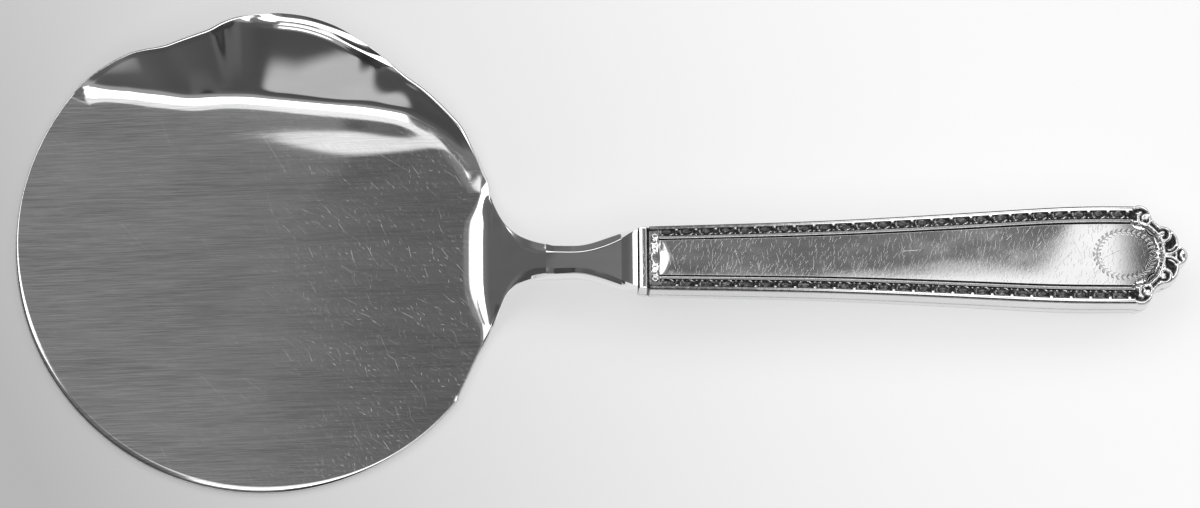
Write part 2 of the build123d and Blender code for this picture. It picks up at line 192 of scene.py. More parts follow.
# Away from the object it is pale all round, by the square of the distance in metres
away = node(tree, "Math", "MULTIPLY_ADD", x, x, node(tree, "Math", "MULTIPLY", y, y))
fall = node(tree, "Math", "MAXIMUM", fall, node(tree, "MapRange", smooth, away, 0.005, 0.06, 0.0, 0.9))
tone = node(tree, "Mix", {"data_type": "RGBA"}, fall, i6=linear("#bababa"), i7=linear("#ffffff")).outputs[2]
surface = node(tree, "BsdfPrincipled", Base_Color=tone, Roughness=0.9, Specular_IOR_Level=0.1)
# Part of its paleness glows as its own tone, painted falloff included, in the picture and in the metal, so that the
# shadows on it stay light
own_share = 0.60
rays = node(tree, "LightPath")
seen = node(tree, "Math", "MAXIMUM", rays.outputs["Is Camera Ray"], rays.outputs["Is Glossy Ray"])
seen = node(tree, "Math", "MAXIMUM", seen, rays.outputs["Is Transmission Ray"])
pale = node(tree, "Emission", Color=tone, Strength=1.0)
mixed = node(tree, "MixShader", {}, node(tree, "Math", "MULTIPLY", seen, own_share), surface, pale)
node(tree, "OutputMaterial", Surface=mixed)
floor_data.materials.append(card)


# Blade: a disc of rolled stainless steel, 1.4 mm thick, with its back edge raised in a curling lip
# and its right side drawn out into a cranked neck, all one forging. The flat is worn by years of
# use along the roll, and the lip and the neck keep their polish.
mm = 0.001
# The disc: its radius and thickness, the rounding and the crown of its rim, and the lip's full rise. Then the
# angles at which the lip meets the neck and runs out, and at which the straight side starts
blade_radius = 44.79
sheet = 1.4
rim_width = 0.34
rim_crown = 0.2
lip_rise = 10.85
lip_end_angle, lip_last_angle, corner_angle = 12.0, 141.0, -38.9
# The neck along X: where its bend starts, its edges leave the disc, its sloping face meets the level rod, the
# rod starts, and the handle's mouth stands
neck_bend_x = 35.7
neck_edge_x = 40.5
crossing_x = 50.6
rod_x = 52.0
mouth_x = 66.9
bend_radius = 8.2
rod_half_depth = 2.75
# The handle lies a little to the plain side of the disc's middle, and leans down from its mouth
mouth_height = 8.0708
handle_offset = -4.7
droop = math.radians(1.5)

# The lip by angle round the disc: where its fold stands at 20 degrees (mm from the centre), the rim (as a
# share of the radius), the rim's share of the rise, and how much of a flattened flange the rim has
lip_slices = np.array([
    (12, 39.60, 0.925, 0.03, 0.0),
    (20, 39.60, 0.925, 0.06, 0.0),
    (25, 38.90, 0.921, 0.12, 0.0),
    (30, 38.10, 0.916, 0.235, 0.0),
    (36, 36.10, 0.904, 0.31, 0.0),
    (43, 34.10, 0.889, 0.41, 0.0),
    (50, 31.60, 0.874, 0.55, 0.10),
    (56, 29.80, 0.883, 0.69, 0.50),
    (64, 28.00, 0.894, 0.87, 0.90),
    (72, 26.85, 0.907, 0.97, 1.00),
    (80, 26.30, 0.912, 1.00, 1.00),
    (85, 26.25, 0.911, 1.00, 1.00),
    (90, 26.35, 0.905, 0.99, 0.75),
    (95, 26.65, 0.897, 0.96, 0.25),
    (100, 27.10, 0.883, 0.90, 0.0),
    (105, 27.70, 0.868, 0.81, 0.0),
    (115, 29.10, 0.880, 0.62, 0.0),
    (125, 32.90, 0.941, 0.43, 0.0),
    (133, 38.10, 0.975, 0.25, 0.0),
    (137, 41.20, 0.990, 0.125, 0.0),
    (141, 43.20, 1.000, 0.0, 0.0),
])
# The slow swell in the flat before the fold: its line and half width in plan, and its slope in degrees
swell = np.array([
    (-16.0, 20.9, 1.6, 0.0),
    (-4.2, 20.4, 2.0, 2.5),
    (0.0, 20.1, 2.3, 3.2),
    (5.8, 19.5, 2.8, 4.3),
    (14.4, 18.65, 3.2, 5.2),
    (24.2, 18.3, 2.2, 4.6),
    (29.0, 18.3, 1.7, 3.8),
    (36.0, 18.0, 1.2, 0.8),
    (46.0, 18.0, 1.2, 0.0),
])


def smooth_through(xs, ys, at):
    """A natural cubic spline through points with rising xs, at the places asked for."""
    xs = np.asarray(xs, float)
    ys = np.asarray(ys, float)
    gaps = np.diff(xs)
    shape = (-1,) + (1,) * (ys.ndim - 1)
    rates = np.diff(ys, axis=0) / gaps.reshape(shape)
    count = len(xs)
    system = np.zeros((count, count))
    wanted = np.zeros_like(ys)
    system[0, 0] = system[-1, -1] = 1.0
    for i in range(1, count - 1):
        system[i, i - 1:i + 2] = gaps[i - 1], 2 * (gaps[i - 1] + gaps[i]), gaps[i]
        wanted[i] = 6 * (rates[i] - rates[i - 1])
    bends = np.linalg.solve(system, wanted.reshape(count, -1)).reshape(ys.shape)
    wanted_shape = np.shape(at)
    at = np.ravel(at)
    place = np.clip(np.searchsorted(xs, at) - 1, 0, count - 2)
    h = gaps[place].reshape(shape)
    after = (xs[place + 1] - at).reshape(shape) / h
    before = (at - xs[place]).reshape(shape) / h
    line = after * ys[place] + before * ys[place + 1]
    found = line + ((after**3 - after) * bends[place] + (before**3 - before) * bends[place + 1]) * h**2 / 6
    return found.reshape(wanted_shape + ys.shape[1:])


def eased(share):
    """A share from 0 to 1, drawn out smoothly at both ends."""
    share = np.clip(share, 0, 1)
    return share**2 * (3 - 2 * share)


def by_angle(angles, values, at):
    """A table's values at angles between its rows, without overshoot."""
    angles, values = np.asarray(angles, float), np.asarray(values, float)
    rates = np.diff(values) / np.diff(angles)
    products = rates[:-1] * rates[1:]
    inner_slopes = np.where(products > 0, 2 * products / (rates[:-1] + rates[1:] + 1e-12), 0)
    slopes = np.concatenate([[rates[0]], inner_slopes, [rates[-1]]])
    place = np.clip(np.searchsorted(angles, at) - 1, 0, len(angles) - 2)
    gap = np.diff(angles)[place]
    t = (at - angles[place]) / gap
    return ((1 + 2 * t) * (1 - t)**2 * values[place] + t * (1 - t)**2 * gap * slopes[place]
            + t**2 * (3 - 2 * t) * values[place + 1] + t**2 * (t - 1) * gap * slopes[place + 1])


def bezier(controls, shares):
    """Points on a cubic curve, one for each share."""
    t = np.asarray(shares)[:, None]
    p = np.asarray(controls, float)
    return (1 - t)**3 * p[0] + 3 * (1 - t)**2 * t * p[1] + 3 * (1 - t) * t**2 * p[2] + t**3 * p[3]


# The neck's outline from the side: level, round the bend, up the sloping face to a crisp edge, and level
# along the rod. The underside stays a sheet's thickness away, then swings wide to the rod's underside.
bend_turns = np.radians(np.linspace(0, 40.0, 60))
bend_curve = np.stack([neck_bend_x + bend_radius * np.sin(bend_turns),
                       sheet + bend_radius * (1 - np.cos(bend_turns))], axis=1)
rod_top, rod_under = mouth_height + rod_half_depth, mouth_height - rod_half_depth
face_controls = [bend_curve[-1], bend_curve[-1] + np.array([2.4, 2.01]),
                 (crossing_x - 3.0, rod_top - 2.15), (crossing_x, rod_top)]
face_curve = bezier(face_controls, np.linspace(0, 1, 60)[1:])
side_top = np.concatenate([[(neck_bend_x - 20, sheet)], bend_curve, face_curve, [(mouth_x + 1, rod_top)]])
under_turns = np.radians(np.linspace(0, 30.0, 40))
under_radius = bend_radius + sheet
under_curve = np.stack([neck_bend_x + under_radius * np.sin(under_turns),
                        under_radius * (1 - np.cos(under_turns))], axis=1)
under_controls = [under_curve[-1], under_curve[-1] + np.array([4.2, 2.42]),
                  (rod_x - 4.6, rod_under), (rod_x, rod_under)]
under_sweep = bezier(under_controls, np.linspace(0, 1, 60)[1:])
side_low = np.concatenate([[(neck_bend_x - 20, 0)], under_curve, under_sweep, [(mouth_x + 1, rod_under)]])


def bend_shift(x, y):
    """How far the bend stands further out towards the neck's two sides, where it is also tighter."""
    bend_middle, bend_half = -3.0, 11.0
    out = np.clip(np.abs(y - bend_middle) / bend_half, 0, 1.1)
    bowed = 1.25 * out**4 * (1 - eased((x - 41.5) / 5.0))
    tighter_far = 2.7 * eased((y - 3.5) / 5.0) * (1 - eased((x - 36.0) / 4.5))
    tighter_near = 1.3 * eased((-7.5 - y) / 7.5) * (1 - eased((x - 37.0) / 6.0))
    return bowed + tighter_far + tighter_near


def neck_rise(x, y, side):
    """The height of the neck's top or underside at places in plan."""
    return np.interp(x - bend_shift(x, y), side[:, 0], side[:, 1])


def swell_rise(x, y):
    """How much the slow swell before the fold has lifted the sheet at places in plan."""
    line, half_way, slope = [by_angle(swell[:, 0], swell[:, k], np.clip(x, -16, 46)) for k in (1, 2, 3)]
    return np.tan(np.radians(slope)) * half_way * 0.886 * (1 + np.tanh(1.2 * (y - line) / half_way))


def fold_heights(theta, r):
    """The lip's rise above the flat at stations along each slice."""
    fold, edge, rise, flange = [by_angle(lip_slices[:, 0], lip_slices[:, k], theta)[:, None] for k in range(1, 5)]
    edge = edge * blade_radius - rim_crown
    for _ in range(14):
        for table in (fold, rise, flange):
            table[1:-1] = (table[:-2] + table[1:-1] + table[2:]) / 3
    turn = np.gradient(fold[:, 0], np.radians(theta))[:, None] / fold
    across = 1 / np.sqrt(1 + turn**2)
    turned = np.radians(theta)[:, None]
    target = rise * lip_rise - 0.6 * flange - swell_rise(edge * np.cos(turned), edge * np.sin(turned))
    # Distances from the fold, along the slice, at which the slope passes set angles
    reach = np.array([3.2, 1.75, 1.25, 0.85]) / across
    steps = np.tan(np.radians([0.0, 2.0, 6.4, 13.4, 20.0])) * across
    bend_start = edge - 0.9 - 2.3 * flange
    # The flange is rolled over. Distance from the edge on a plain lip, how much more on the flange, and the slope
    flats = [(0.75, 2.05, 18.0), (0.6, 1.85, 34.0), (0.5, 1.65, 18.0), (0.4, 1.50, 2.0), (0.3, 1.30, -7.0),
             (0.15, 0.85, -20.0), (0.0, 0.0, -29.0)]
    wall_start = np.minimum(fold + 1.7 / across, bend_start - 0.3)
    flange_places = [edge - a - b * flange for a, b, _ in flats]
    places = np.concatenate([fold - reach, fold, wall_start, bend_start] + flange_places, axis=1)
    # The wall's slope is found by halving, so that each slice ends at its own height
    steepest = 6.0
    low, high = np.zeros_like(fold), np.full_like(fold, steepest)
    for _ in range(40):
        wall = (low + high) / 2
        flange_slopes = [wall * (1 - flange) + flange * np.minimum(wall, np.tan(np.radians(s))) for _, _, s in flats]
        values = np.concatenate([np.minimum(steps, wall), 1.05 * wall, 0.9 * wall] + flange_slopes, axis=1)
        slopes = np.stack([np.interp(*row, left=0.0) for row in zip(r, places, values)])
        rises = np.cumsum((slopes[:, 1:] + slopes[:, :-1]) / 2 * np.diff(r, axis=1), axis=1)
        heights = np.concatenate([np.zeros((len(r), 1)), rises], axis=1)
        short = heights[:, -1:] < target
        low = np.where(short, wall, low)
        high = np.where(short, high, wall)
    return heights + swell_rise(r * np.cos(turned), r * np.sin(turned))


def rows_by_need(curves, count):
    """Places on curves (place, height) that gather where they bend and, most of all, near the rim."""
    turn_need, rim_need, rim_reach = 16.0, 22.0, 0.45
    steps = np.diff(curves, axis=1)
    lengths = np.linalg.norm(steps, axis=2)
    turns = np.abs(np.diff(np.arctan2(steps[..., 1], steps[..., 0]), axis=1))
    turns = np.concatenate([turns[:, :1], turns], axis=1)
    gone = np.cumsum(lengths, axis=1)
    to_rim = gone[:, -1:] - gone
    need = lengths * (0.9 + rim_need * np.exp(-to_rim / rim_reach)) + turn_need * turns
    width = 9
    blur = np.ones(2 * width + 1) / (2 * width + 1)
    need = np.stack([np.convolve(np.pad(row, width, mode="edge"), blur, "valid") for row in need])
    total = np.concatenate([np.zeros((len(curves), 1)), np.cumsum(need, axis=1)], axis=1)
    total /= total[:, -1:]
    shares = np.linspace(0, 1, count)
    return np.stack([np.stack([np.interp(shares, at, curve[:, k]) for k in (0, 1)], axis=1)
                     for at, curve in zip(total, curves)])


rows, fine = 64, 500
flat_root = 0.94 * blade_radius
lip_spokes = np.linspace(lip_end_angle, lip_last_angle, 250)
disc_spokes = np.linspace(lip_last_angle, 360.0 + corner_angle, 132)[1:]
lip_fold = by_angle(lip_slices[:, 0], lip_slices[:, 1], lip_spokes)
lip_edge_r = by_angle(lip_slices[:, 0], lip_slices[:, 2], lip_spokes) * blade_radius - rim_crown
# Each slice starts on the flat, before the fold and, up to 130 degrees, before the swell at Y 15
swell_start = np.where(lip_spokes < 130, 15.0 / np.maximum(np.sin(np.radians(lip_spokes)), 0.2), 99)
lip_start = np.minimum(np.minimum(lip_fold - 3.6, swell_start), flat_root)
for _ in range(6):
    lip_start[1:-1] = (lip_start[:-2] + lip_start[1:-1] + lip_start[2:]) / 3
neck_mix = 1 - eased((lip_spokes - lip_end_angle) / 7.0)
lip_start = neck_mix * 35.5 / np.cos(np.radians(lip_spokes)) + (1 - neck_mix) * lip_start
lip_edge_r = neck_mix * neck_edge_x / np.cos(np.radians(lip_spokes)) + (1 - neck_mix) * lip_edge_r
stations = lip_start[:, None] + (lip_edge_r - lip_start)[:, None] * np.linspace(0, 1, fine)[None, :]
heights = fold_heights(lip_spokes, stations)
turned = np.radians(lip_spokes)[:, None]
beside_neck = neck_rise(stations * np.cos(turned), stations * np.sin(turned), side_top) - sheet
heights = heights * (1 - neck_mix[:, None]) + beside_neck * neck_mix[:, None]
for _ in range(3):
    smoothed = (heights[:, :-4] + heights[:, 1:-3] + heights[:, 2:-2] + heights[:, 3:-1] + heights[:, 4:]) / 5
    heights[:, 2:-2] = smoothed
curves = np.stack([stations, heights + sheet], axis=2)
flat_stations = flat_root + (blade_radius - rim_crown - flat_root) * np.linspace(0, 1, fine)
flat_curve = np.stack([flat_stations, np.full(fine, sheet)], axis=1)
curves = np.concatenate([curves, np.repeat(flat_curve[None], len(disc_spokes), axis=0)])
spokes = np.radians(np.concatenate([lip_spokes, disc_spokes]))
over = rows_by_need(curves, rows)
slants = np.gradient(over, axis=1)
slants /= np.linalg.norm(slants, axis=2, keepdims=True)
normals = np.stack([-slants[..., 1], slants[..., 0]], axis=2)
middle = over - normals * sheet / 2
half = normals * sheet / 2
# The rim's crown stands a little further out than the curves' ends
crowning = rim_crown * np.clip((np.degrees(spokes) - lip_end_angle) / 6.0, 0, 1)
middle[:, -1] += slants[:, -1] * crowning[:, None]
corner_turn = math.radians(corner_angle)
soft_corner = np.array([math.cos(corner_turn), math.sin(corner_turn)]) * (blade_radius - rim_crown)
neck_corner = np.array([44.2, handle_offset - 3.1])
row_shares = (over[-1, :, 0] - flat_root) / (over[-1, -1, 0] - flat_root)


def plain_side(x):
    """The height in plan of the straight side between the soft corner and the neck."""
    share = (x - soft_corner[0]) / (neck_corner[0] - soft_corner[0])
    return soft_corner[1] + share * (neck_corner[1] - soft_corner[1])


def upright(flat_points, turns):
    """Slices' points (radius, height) set up at their spokes' angles."""
    radius = flat_points[..., 0]
    turns = turns[:, None]
    return np.stack([radius * np.cos(turns), radius * np.sin(turns), flat_points[..., 1]], axis=2)


middle_3d = upright(middle, spokes)
half_3d = upright(half, spokes)
# Along the straight side the slices turn, until the last lies on the line where the neck's bend starts
first_row_x = over[0, 0, 0] * math.cos(spokes[0])
side_xs = np.linspace(soft_corner[0], first_row_x, 24)[1:]
side_ends = np.stack([side_xs, plain_side(side_xs)], axis=1)
side_turns = np.linspace(math.radians(180.0 + corner_angle), math.radians(90.0), len(side_xs) + 1)[1:]
inward = np.stack([np.cos(side_turns), np.sin(side_turns)], axis=1)
side_plan = side_ends[:, None] + inward[:, None] * ((blade_radius - flat_root) * (1 - row_shares))[None, :, None]
side_middle = np.concatenate([side_plan, np.full(side_plan.shape[:2] + (1,), sheet / 2)], axis=2)
side_half = np.zeros_like(side_middle)
side_half[..., 2] = sheet / 2
middle_3d = np.concatenate([middle_3d, side_middle])
half_3d = np.concatenate([half_3d, side_half])
lengths = np.linalg.norm(np.diff(middle_3d, axis=1), axis=2)
to_rim = np.concatenate([np.cumsum(lengths[:, ::-1], axis=1)[:, ::-1], np.zeros((len(middle_3d), 1))], axis=1)
rim_line = middle_3d[:, -1]
run = np.gradient(rim_line, axis=0)
run /= np.linalg.norm(run, axis=1, keepdims=True)
outward = middle_3d[:, -1] - middle_3d[:, -4]
outward /= np.maximum(np.linalg.norm(outward, axis=1, keepdims=True), 1e-9)
slant = np.linalg.norm(np.cross(run, outward), axis=1)
# The edge is worn rounder where it scraped along the dish, at the lower left
rim_turns = np.degrees(np.arctan2(rim_line[:, 1], rim_line[:, 0])) % 360
worn_edge = eased((rim_turns - 165) / 40) * (1 - eased((rim_turns - 270) / 40))


def rounding(distance, width, power=2.0):
    """How far a rounded edge has opened, from 0 at the edge to 1 a width away from it."""
    near = 1 - np.clip(distance / width, 0, 1)
    return np.maximum(1 - near**power, 0) ** (1 / power)


worn_width = rim_width + 0.86 * worn_edge[:, None]
opened = rounding(to_rim * slant[:, None], worn_width, 2.0 - 0.4 * worn_edge[:, None])[..., None]
top_points = middle_3d + half_3d * opened
under_points = middle_3d - half_3d * opened
under_points[..., 2] = np.maximum(under_points[..., 2], 0)

# The neck's two edges in plan, and its rows along X
lip_side = np.array([
    (40.5, 8.61), (41.3, 6.75), (42.1, 4.95), (43.0, 3.45), (43.9, 2.35), (45.7, 0.75), (47.5, -0.25),
    (49.3, -0.95), (51.0, -1.40), (52.0, -1.60), (53.0, -1.65),
])
plain_edge = np.array([(x, plain_side(x)) for x in (35.0, 36.7, 38.5, 40.0, 41.0)] + [
    (42.1, -12.35), (43.1, -10.45), (44.2, -9.15), (45.7, -8.30), (47.5, -7.92), (50.0, -7.80), (52.0, -7.80),
    (53.0, -7.80),
])
# Sections of the rod and the bolster: place along X, half width, bevel across and down
sections = np.array([
    (rod_x, 3.10, 1.60, 1.75),
    (54.6, 3.03, 1.60, 1.75),
    (57.2, 3.15, 1.62, 1.75),
    (59.6, 3.72, 1.70, 1.70),
    (61.8, 4.45, 1.70, 1.66),
    (63.5, 5.00, 1.50, 1.48),
    (64.9, 5.33, 1.10, 1.10),
    (66.2, 5.53, 0.72, 0.72),
    (66.82, 5.58, 0.60, 0.60),
])
swell_x = 64.0
# The bevels on the crank: places along X, their width, and how far they fall for each mm out
bevel_places = [42.4, 44.2, 47.0, 50.0, rod_x]
bevel_widths = [0.15, 1.25, 2.0, 1.80, 1.60]
bevel_steeps = [0.10, 0.38, 0.60, 0.90, 1.75 / 1.60]
sheet_xs = over[0, :, 0] * math.cos(spokes[0])
crank_top_xs = np.concatenate([np.linspace(neck_edge_x, crossing_x, 50)[1:], np.linspace(crossing_x, rod_x, 9)[1:]])
crank_low_xs = np.linspace(neck_edge_x + 0.6, rod_x, 58)[1:]
rod_xs = np.concatenate([np.linspace(rod_x, swell_x, 47)[1:], np.linspace(swell_x, mouth_x - 0.08, 31)[1:]])
# Past the flat's end the bolster swells up and down, steeply first, then rounding over
swollen = 1.70 * (1 - (1 - np.clip((rod_xs - swell_x) / (mouth_x - swell_x), 0, 1))**1.5)
sheet_low_xs = under_points[0, :, 0]
top_xs = np.concatenate([sheet_xs, crank_top_xs, rod_xs])
low_xs = np.concatenate([sheet_low_xs, crank_low_xs, rod_xs])
growth = np.concatenate([np.zeros(len(sheet_xs) + len(crank_top_xs)), swollen])


def edge_places(side, xs):
    """The neck's edge in plan at places along X: side +1 is the lip's, -1 the plain one."""
    line = lip_side if side > 0 else plain_edge
    found = smooth_through(line[:, 0], line[:, 1], np.clip(xs, line[0, 0], line[-1, 0]))
    if side > 0:
        found = np.where(xs < neck_edge_x, xs * math.tan(math.radians(lip_end_angle)), found)
    else:
        found = np.where(xs < 41.0, plain_side(xs), found)
    width = smooth_through(sections[:, 0], sections[:, 1], np.clip(xs, rod_x, mouth_x))
    return np.where(xs > rod_x, handle_offset + side * width, found)


def bevel_at(xs):
    """The width of the bevels beside the neck's two ridges, and how far they fall for each mm out."""
    along_rod = smooth_through(sections[:, 0], sections[:, 2:], np.clip(xs, rod_x, mouth_x))
    at = np.clip(xs, bevel_places[0], rod_x)
    width = np.where(xs > rod_x, along_rod[:, 0], by_angle(bevel_places, bevel_widths, at))
    steep = np.where(xs > rod_x, along_rod[:, 1] / along_rod[:, 0], by_angle(bevel_places, bevel_steeps, at))
    return width, np.where(xs < bevel_places[0], steep * eased((xs - 41.4) / 1.0), steep)


def drawn_together(count):
    """Shares from 0 to 1 that gather at both ends."""
    return (1 - np.cos(np.linspace(0, math.pi, count))) / 2


outer = drawn_together(26)
plain_outer = 1 - row_shares[::-1]
inner = drawn_together(30)


def neck_grid(xs, side, face):
    """The neck's top, face +1, or underside, face -1: rows along X, columns from the plain edge to the lip's."""
    low = edge_places(-1, xs)
    high = edge_places(1, xs)
    bevel, steep = bevel_at(xs)
    settle = eased((xs - neck_bend_x) / (bevel_places[0] - neck_bend_x))
    flat_band = blade_radius - flat_root
    low_ridge = (bevel * settle + flat_band * (1 - settle)) / (high - low)
    high_ridge = 1 - (bevel * settle + 0.25 * (high - low) * (1 - settle)) / (high - low)
    shares = np.concatenate([
        low_ridge[:, None] * plain_outer[None, :],
        low_ridge[:, None] + (high_ridge - low_ridge)[:, None] * inner[None, 1:],
        high_ridge[:, None] + (1 - high_ridge)[:, None] * outer[None, 1:],
    ], axis=1)
    ys = low[:, None] + (high - low)[:, None] * shares
    xs_all = np.repeat(xs[:, None], ys.shape[1], axis=1)
    within = np.clip(np.minimum(ys - low[:, None], high[:, None] - ys) / bevel[:, None], 0, 1)
    zs = neck_rise(xs_all, ys, side) + face * growth[:, None] * within**0.7
    drop = 0
    softer = 0.40 * eased((crossing_x - 0.2 - xs) / 3.0)[:, None]
    far_softer = 0.07 + 0.38 * eased((rod_x + 0.6 - xs) / 4.5)[:, None]
    # The far bevel is plain. The near one starts gently and ends steep, so that it catches the table
    bevels = [
        (ys - (high - bevel)[:, None], far_softer, 0.72),
        ((low + bevel)[:, None] - ys, softer, 0.62),
        ((low + 0.45 * bevel)[:, None] - ys, 0.12, 0.84),
    ]
    for past, soft, share in bevels:
        drop = drop + share * steep[:, None] * (past + np.sqrt(past**2 + soft**2)) / 2
    return np.stack([xs_all, ys, zs - face * drop], axis=2)


neck_top = neck_grid(top_xs, side_top, 1)
neck_low = neck_grid(low_xs, side_low, -1)
# Round the neck's edges: fully where it is still sheet, then less
near_edge = np.stack([top_xs, edge_places(-1, top_xs)], axis=1)
near_outline = np.concatenate([rim_line[-60:, :2], near_edge[1:]])
far_xs = top_xs[rows - 1:]
far_outline = np.concatenate([rim_line[:60, :2][::-1], np.stack([far_xs, edge_places(1, far_xs)], axis=1)[1:]])


def plan_distance(points, line):
    """The least distance in plan from points to a broken line."""
    starts, runs = line[:-1], np.diff(line, axis=0)
    squares = np.maximum((runs**2).sum(axis=1), 1e-12)
    least = np.full(len(points), 1e9)
    for first in range(0, len(points), 2000):
        part = points[first:first + 2000, None] - starts[None]
        share = np.clip((part * runs).sum(axis=2) / squares, 0, 1)
        gap = np.linalg.norm(part - share[..., None] * runs, axis=2)
        least[first:first + 2000] = gap.min(axis=1)
    return least


neck_plan = neck_top.reshape(-1, 3)[:, :2]
to_edge = np.minimum(plan_distance(neck_plan, near_outline), plan_distance(neck_plan, far_outline))
to_edge = to_edge.reshape(neck_top.shape[:2])
along_neck = np.clip((top_xs - neck_edge_x) / 6.0, 0, 1)[:, None]
edge_width = rim_width * (1 - along_neck) + 0.35 * along_neck
edge_depth = (sheet / 2) * (1 - along_neck) + 0.30 * along_neck
closing = edge_depth * (1 - rounding(to_edge, edge_width))
through = neck_top - neck_low
through[..., 1] = 0
through /= np.linalg.norm(through, axis=2, keepdims=True)
neck_top = neck_top - closing[..., None] * through
neck_low = neck_low + closing[..., None] * through
neck_top[:rows, -1] = top_points[0]
neck_low[:rows, -1] = under_points[0]
neck_top[0, :rows] = top_points[-1, ::-1]
neck_low[0, :rows] = under_points[-1, ::-1]


class Builder:
    """Gathers grids of points and their faces into one mesh."""

    def __init__(self):
        self.points = []
        self.marks = []
        self.faces = []
        self.count = 0

    def add(self, points, mark=0.0):
        """Adds points, with a mark that the material reads, and gives their numbers in the same arrangement."""
        points = np.asarray(points, float)
        flat = points.reshape(-1, 3)
        self.points.append(flat)
        self.marks.append(np.broadcast_to(np.asarray(mark, float), points.shape[:-1]).reshape(-1))
        numbers = np.arange(self.count, self.count + len(flat)).reshape(points.shape[:-1])
        self.count += len(flat)
        return numbers

    def grid(self, numbers, flip=False, closed=False):
        """Four-sided faces between the rows and columns of numbered points."""
        if closed:
            numbers = np.concatenate([numbers, numbers[:1]], axis=0)
        a, b, c, d = numbers[:-1, :-1], numbers[1:, :-1], numbers[1:, 1:], numbers[:-1, 1:]
        quads = np.stack([a, b, c, d] if not flip else [a, d, c, b], axis=2).reshape(-1, 4)
        self.faces.extend(map(tuple, quads.tolist()))

    def fan(self, centre, ring, flip=False):
        """Triangles from a centre to a closed ring of numbered points."""
        for one, two in zip(ring, np.roll(ring, -1)):
            self.faces.append((centre, one, two) if not flip else (centre, two, one))

    def build(self, name, crease_from=None):
        """The finished object, in metres, with doubled points joined and faces turned outwards. Past a place along
        X its sharp edges stay sharp."""
        join, least_crease = 2e-7, math.radians(19)
        mesh = bpy.data.meshes.new(name)
        points = np.concatenate(self.points) * mm
        mesh.from_pydata(points.tolist(), [], self.faces)
        marks = mesh.attributes.new("mark", "FLOAT", "POINT")
        marks.data.foreach_set("value", np.concatenate(self.marks))
        work = bmesh.new()
        work.from_mesh(mesh)
        for face in work.faces:
            face.smooth = True
        bmesh.ops.remove_doubles(work, verts=work.verts, dist=join)
        bmesh.ops.dissolve_degenerate(work, edges=work.edges, dist=1e-8)
        bmesh.ops.recalc_face_normals(work, faces=work.faces)
        loose = [v for v in work.verts if not v.link_faces]
        bmesh.ops.delete(work, geom=loose, context="VERTS")
        if crease_from is not None:
            for edge in work.edges:
                past = min(v.co.x for v in edge.verts) > crease_from * mm
                edge.smooth = not (past and edge.calc_face_angle(0) > least_crease)
        work.to_mesh(mesh)
        work.free()
        made = bpy.data.objects.new(name, mesh)
        bpy.context.scene.collection.objects.link(made)
        return made


def polish(points):
    """Where the brushed flat gives way to the polished lip and neck, from 0 to 1."""
    lifted = eased((points[..., 2] - sheet - 0.10) / 0.9)
    at_neck = eased((points[..., 0] - 37.6) / 1.6) * eased((14.0 - np.abs(points[..., 1])) / 5.0)
    return np.maximum(lifted, at_neck)


blade = Builder()
top_spokes = blade.add(top_points, polish(top_points))
under_spokes = blade.add(under_points, polish(top_points))
neck_top_numbers = blade.add(neck_top, polish(neck_top))
neck_low_numbers = blade.add(neck_low, polish(neck_top))
blade.grid(top_spokes)
blade.grid(under_spokes, flip=True)
blade.grid(neck_top_numbers)
blade.grid(neck_low_numbers, flip=True)
top_loop = np.concatenate([top_spokes[:, 0], neck_top_numbers[0, rows:-1]])
under_loop = np.concatenate([under_spokes[:, 0], neck_low_numbers[0, rows:-1]])
blade.fan(blade.add([[0, 0, sheet]])[0], top_loop)
blade.fan(blade.add([[0, 0, 0]])[0], under_loop, flip=True)
# The neck's side walls
wall_rows = 6
shares = np.linspace(0, 1, wall_rows)[1:-1, None, None]
for column, first in ((0, 0), (-1, rows - 1)):
    upper, lower = neck_top[first:, column], neck_low[first:, column]
    wall = blade.add(upper[None] * (1 - shares) + lower[None] * shares, 1.0)
    upper, lower = neck_top_numbers[None, first:, column], neck_low_numbers[None, first:, column]
    blade.grid(np.concatenate([upper, wall, lower]))
# The end inside the mouth
ring_top, ring_low = neck_top_numbers[-1], neck_low_numbers[-1]
blade.faces.append(tuple(int(n) for n in np.concatenate([ring_top, ring_low[::-1]])))
server_blade = blade.build("server_blade", crease_from=crossing_x - 2.5)


def bare_material(name):
    """A new material without a shader: gives it with its tree and the place on the piece in millimetres."""
    made = bpy.data.materials.new(name)
    made.use_nodes = True
    tree = made.node_tree
    tree.nodes.clear()
    spot = node(tree, "VectorMath", "SCALE", node(tree, "TexCoord").outputs["Object"], Scale=1 / mm)
    return made, tree, spot


def mottling(tree, spot, size, detail=3.0, roughness=0.55, turn=0.0):
    """Patches from 0 to 1, of a size in mm along X, Y and Z, after a turn in degrees about Z."""
    if turn:
        spot = node(tree, "VectorRotate", {"rotation_type": "Z_AXIS"}, spot, Angle=math.radians(-turn))
    shrunk = node(tree, "VectorMath", "DIVIDE", spot, size)
    return node(tree, "TexNoise", Vector=shrunk, Scale=1.0, Detail=detail, Roughness=roughness)


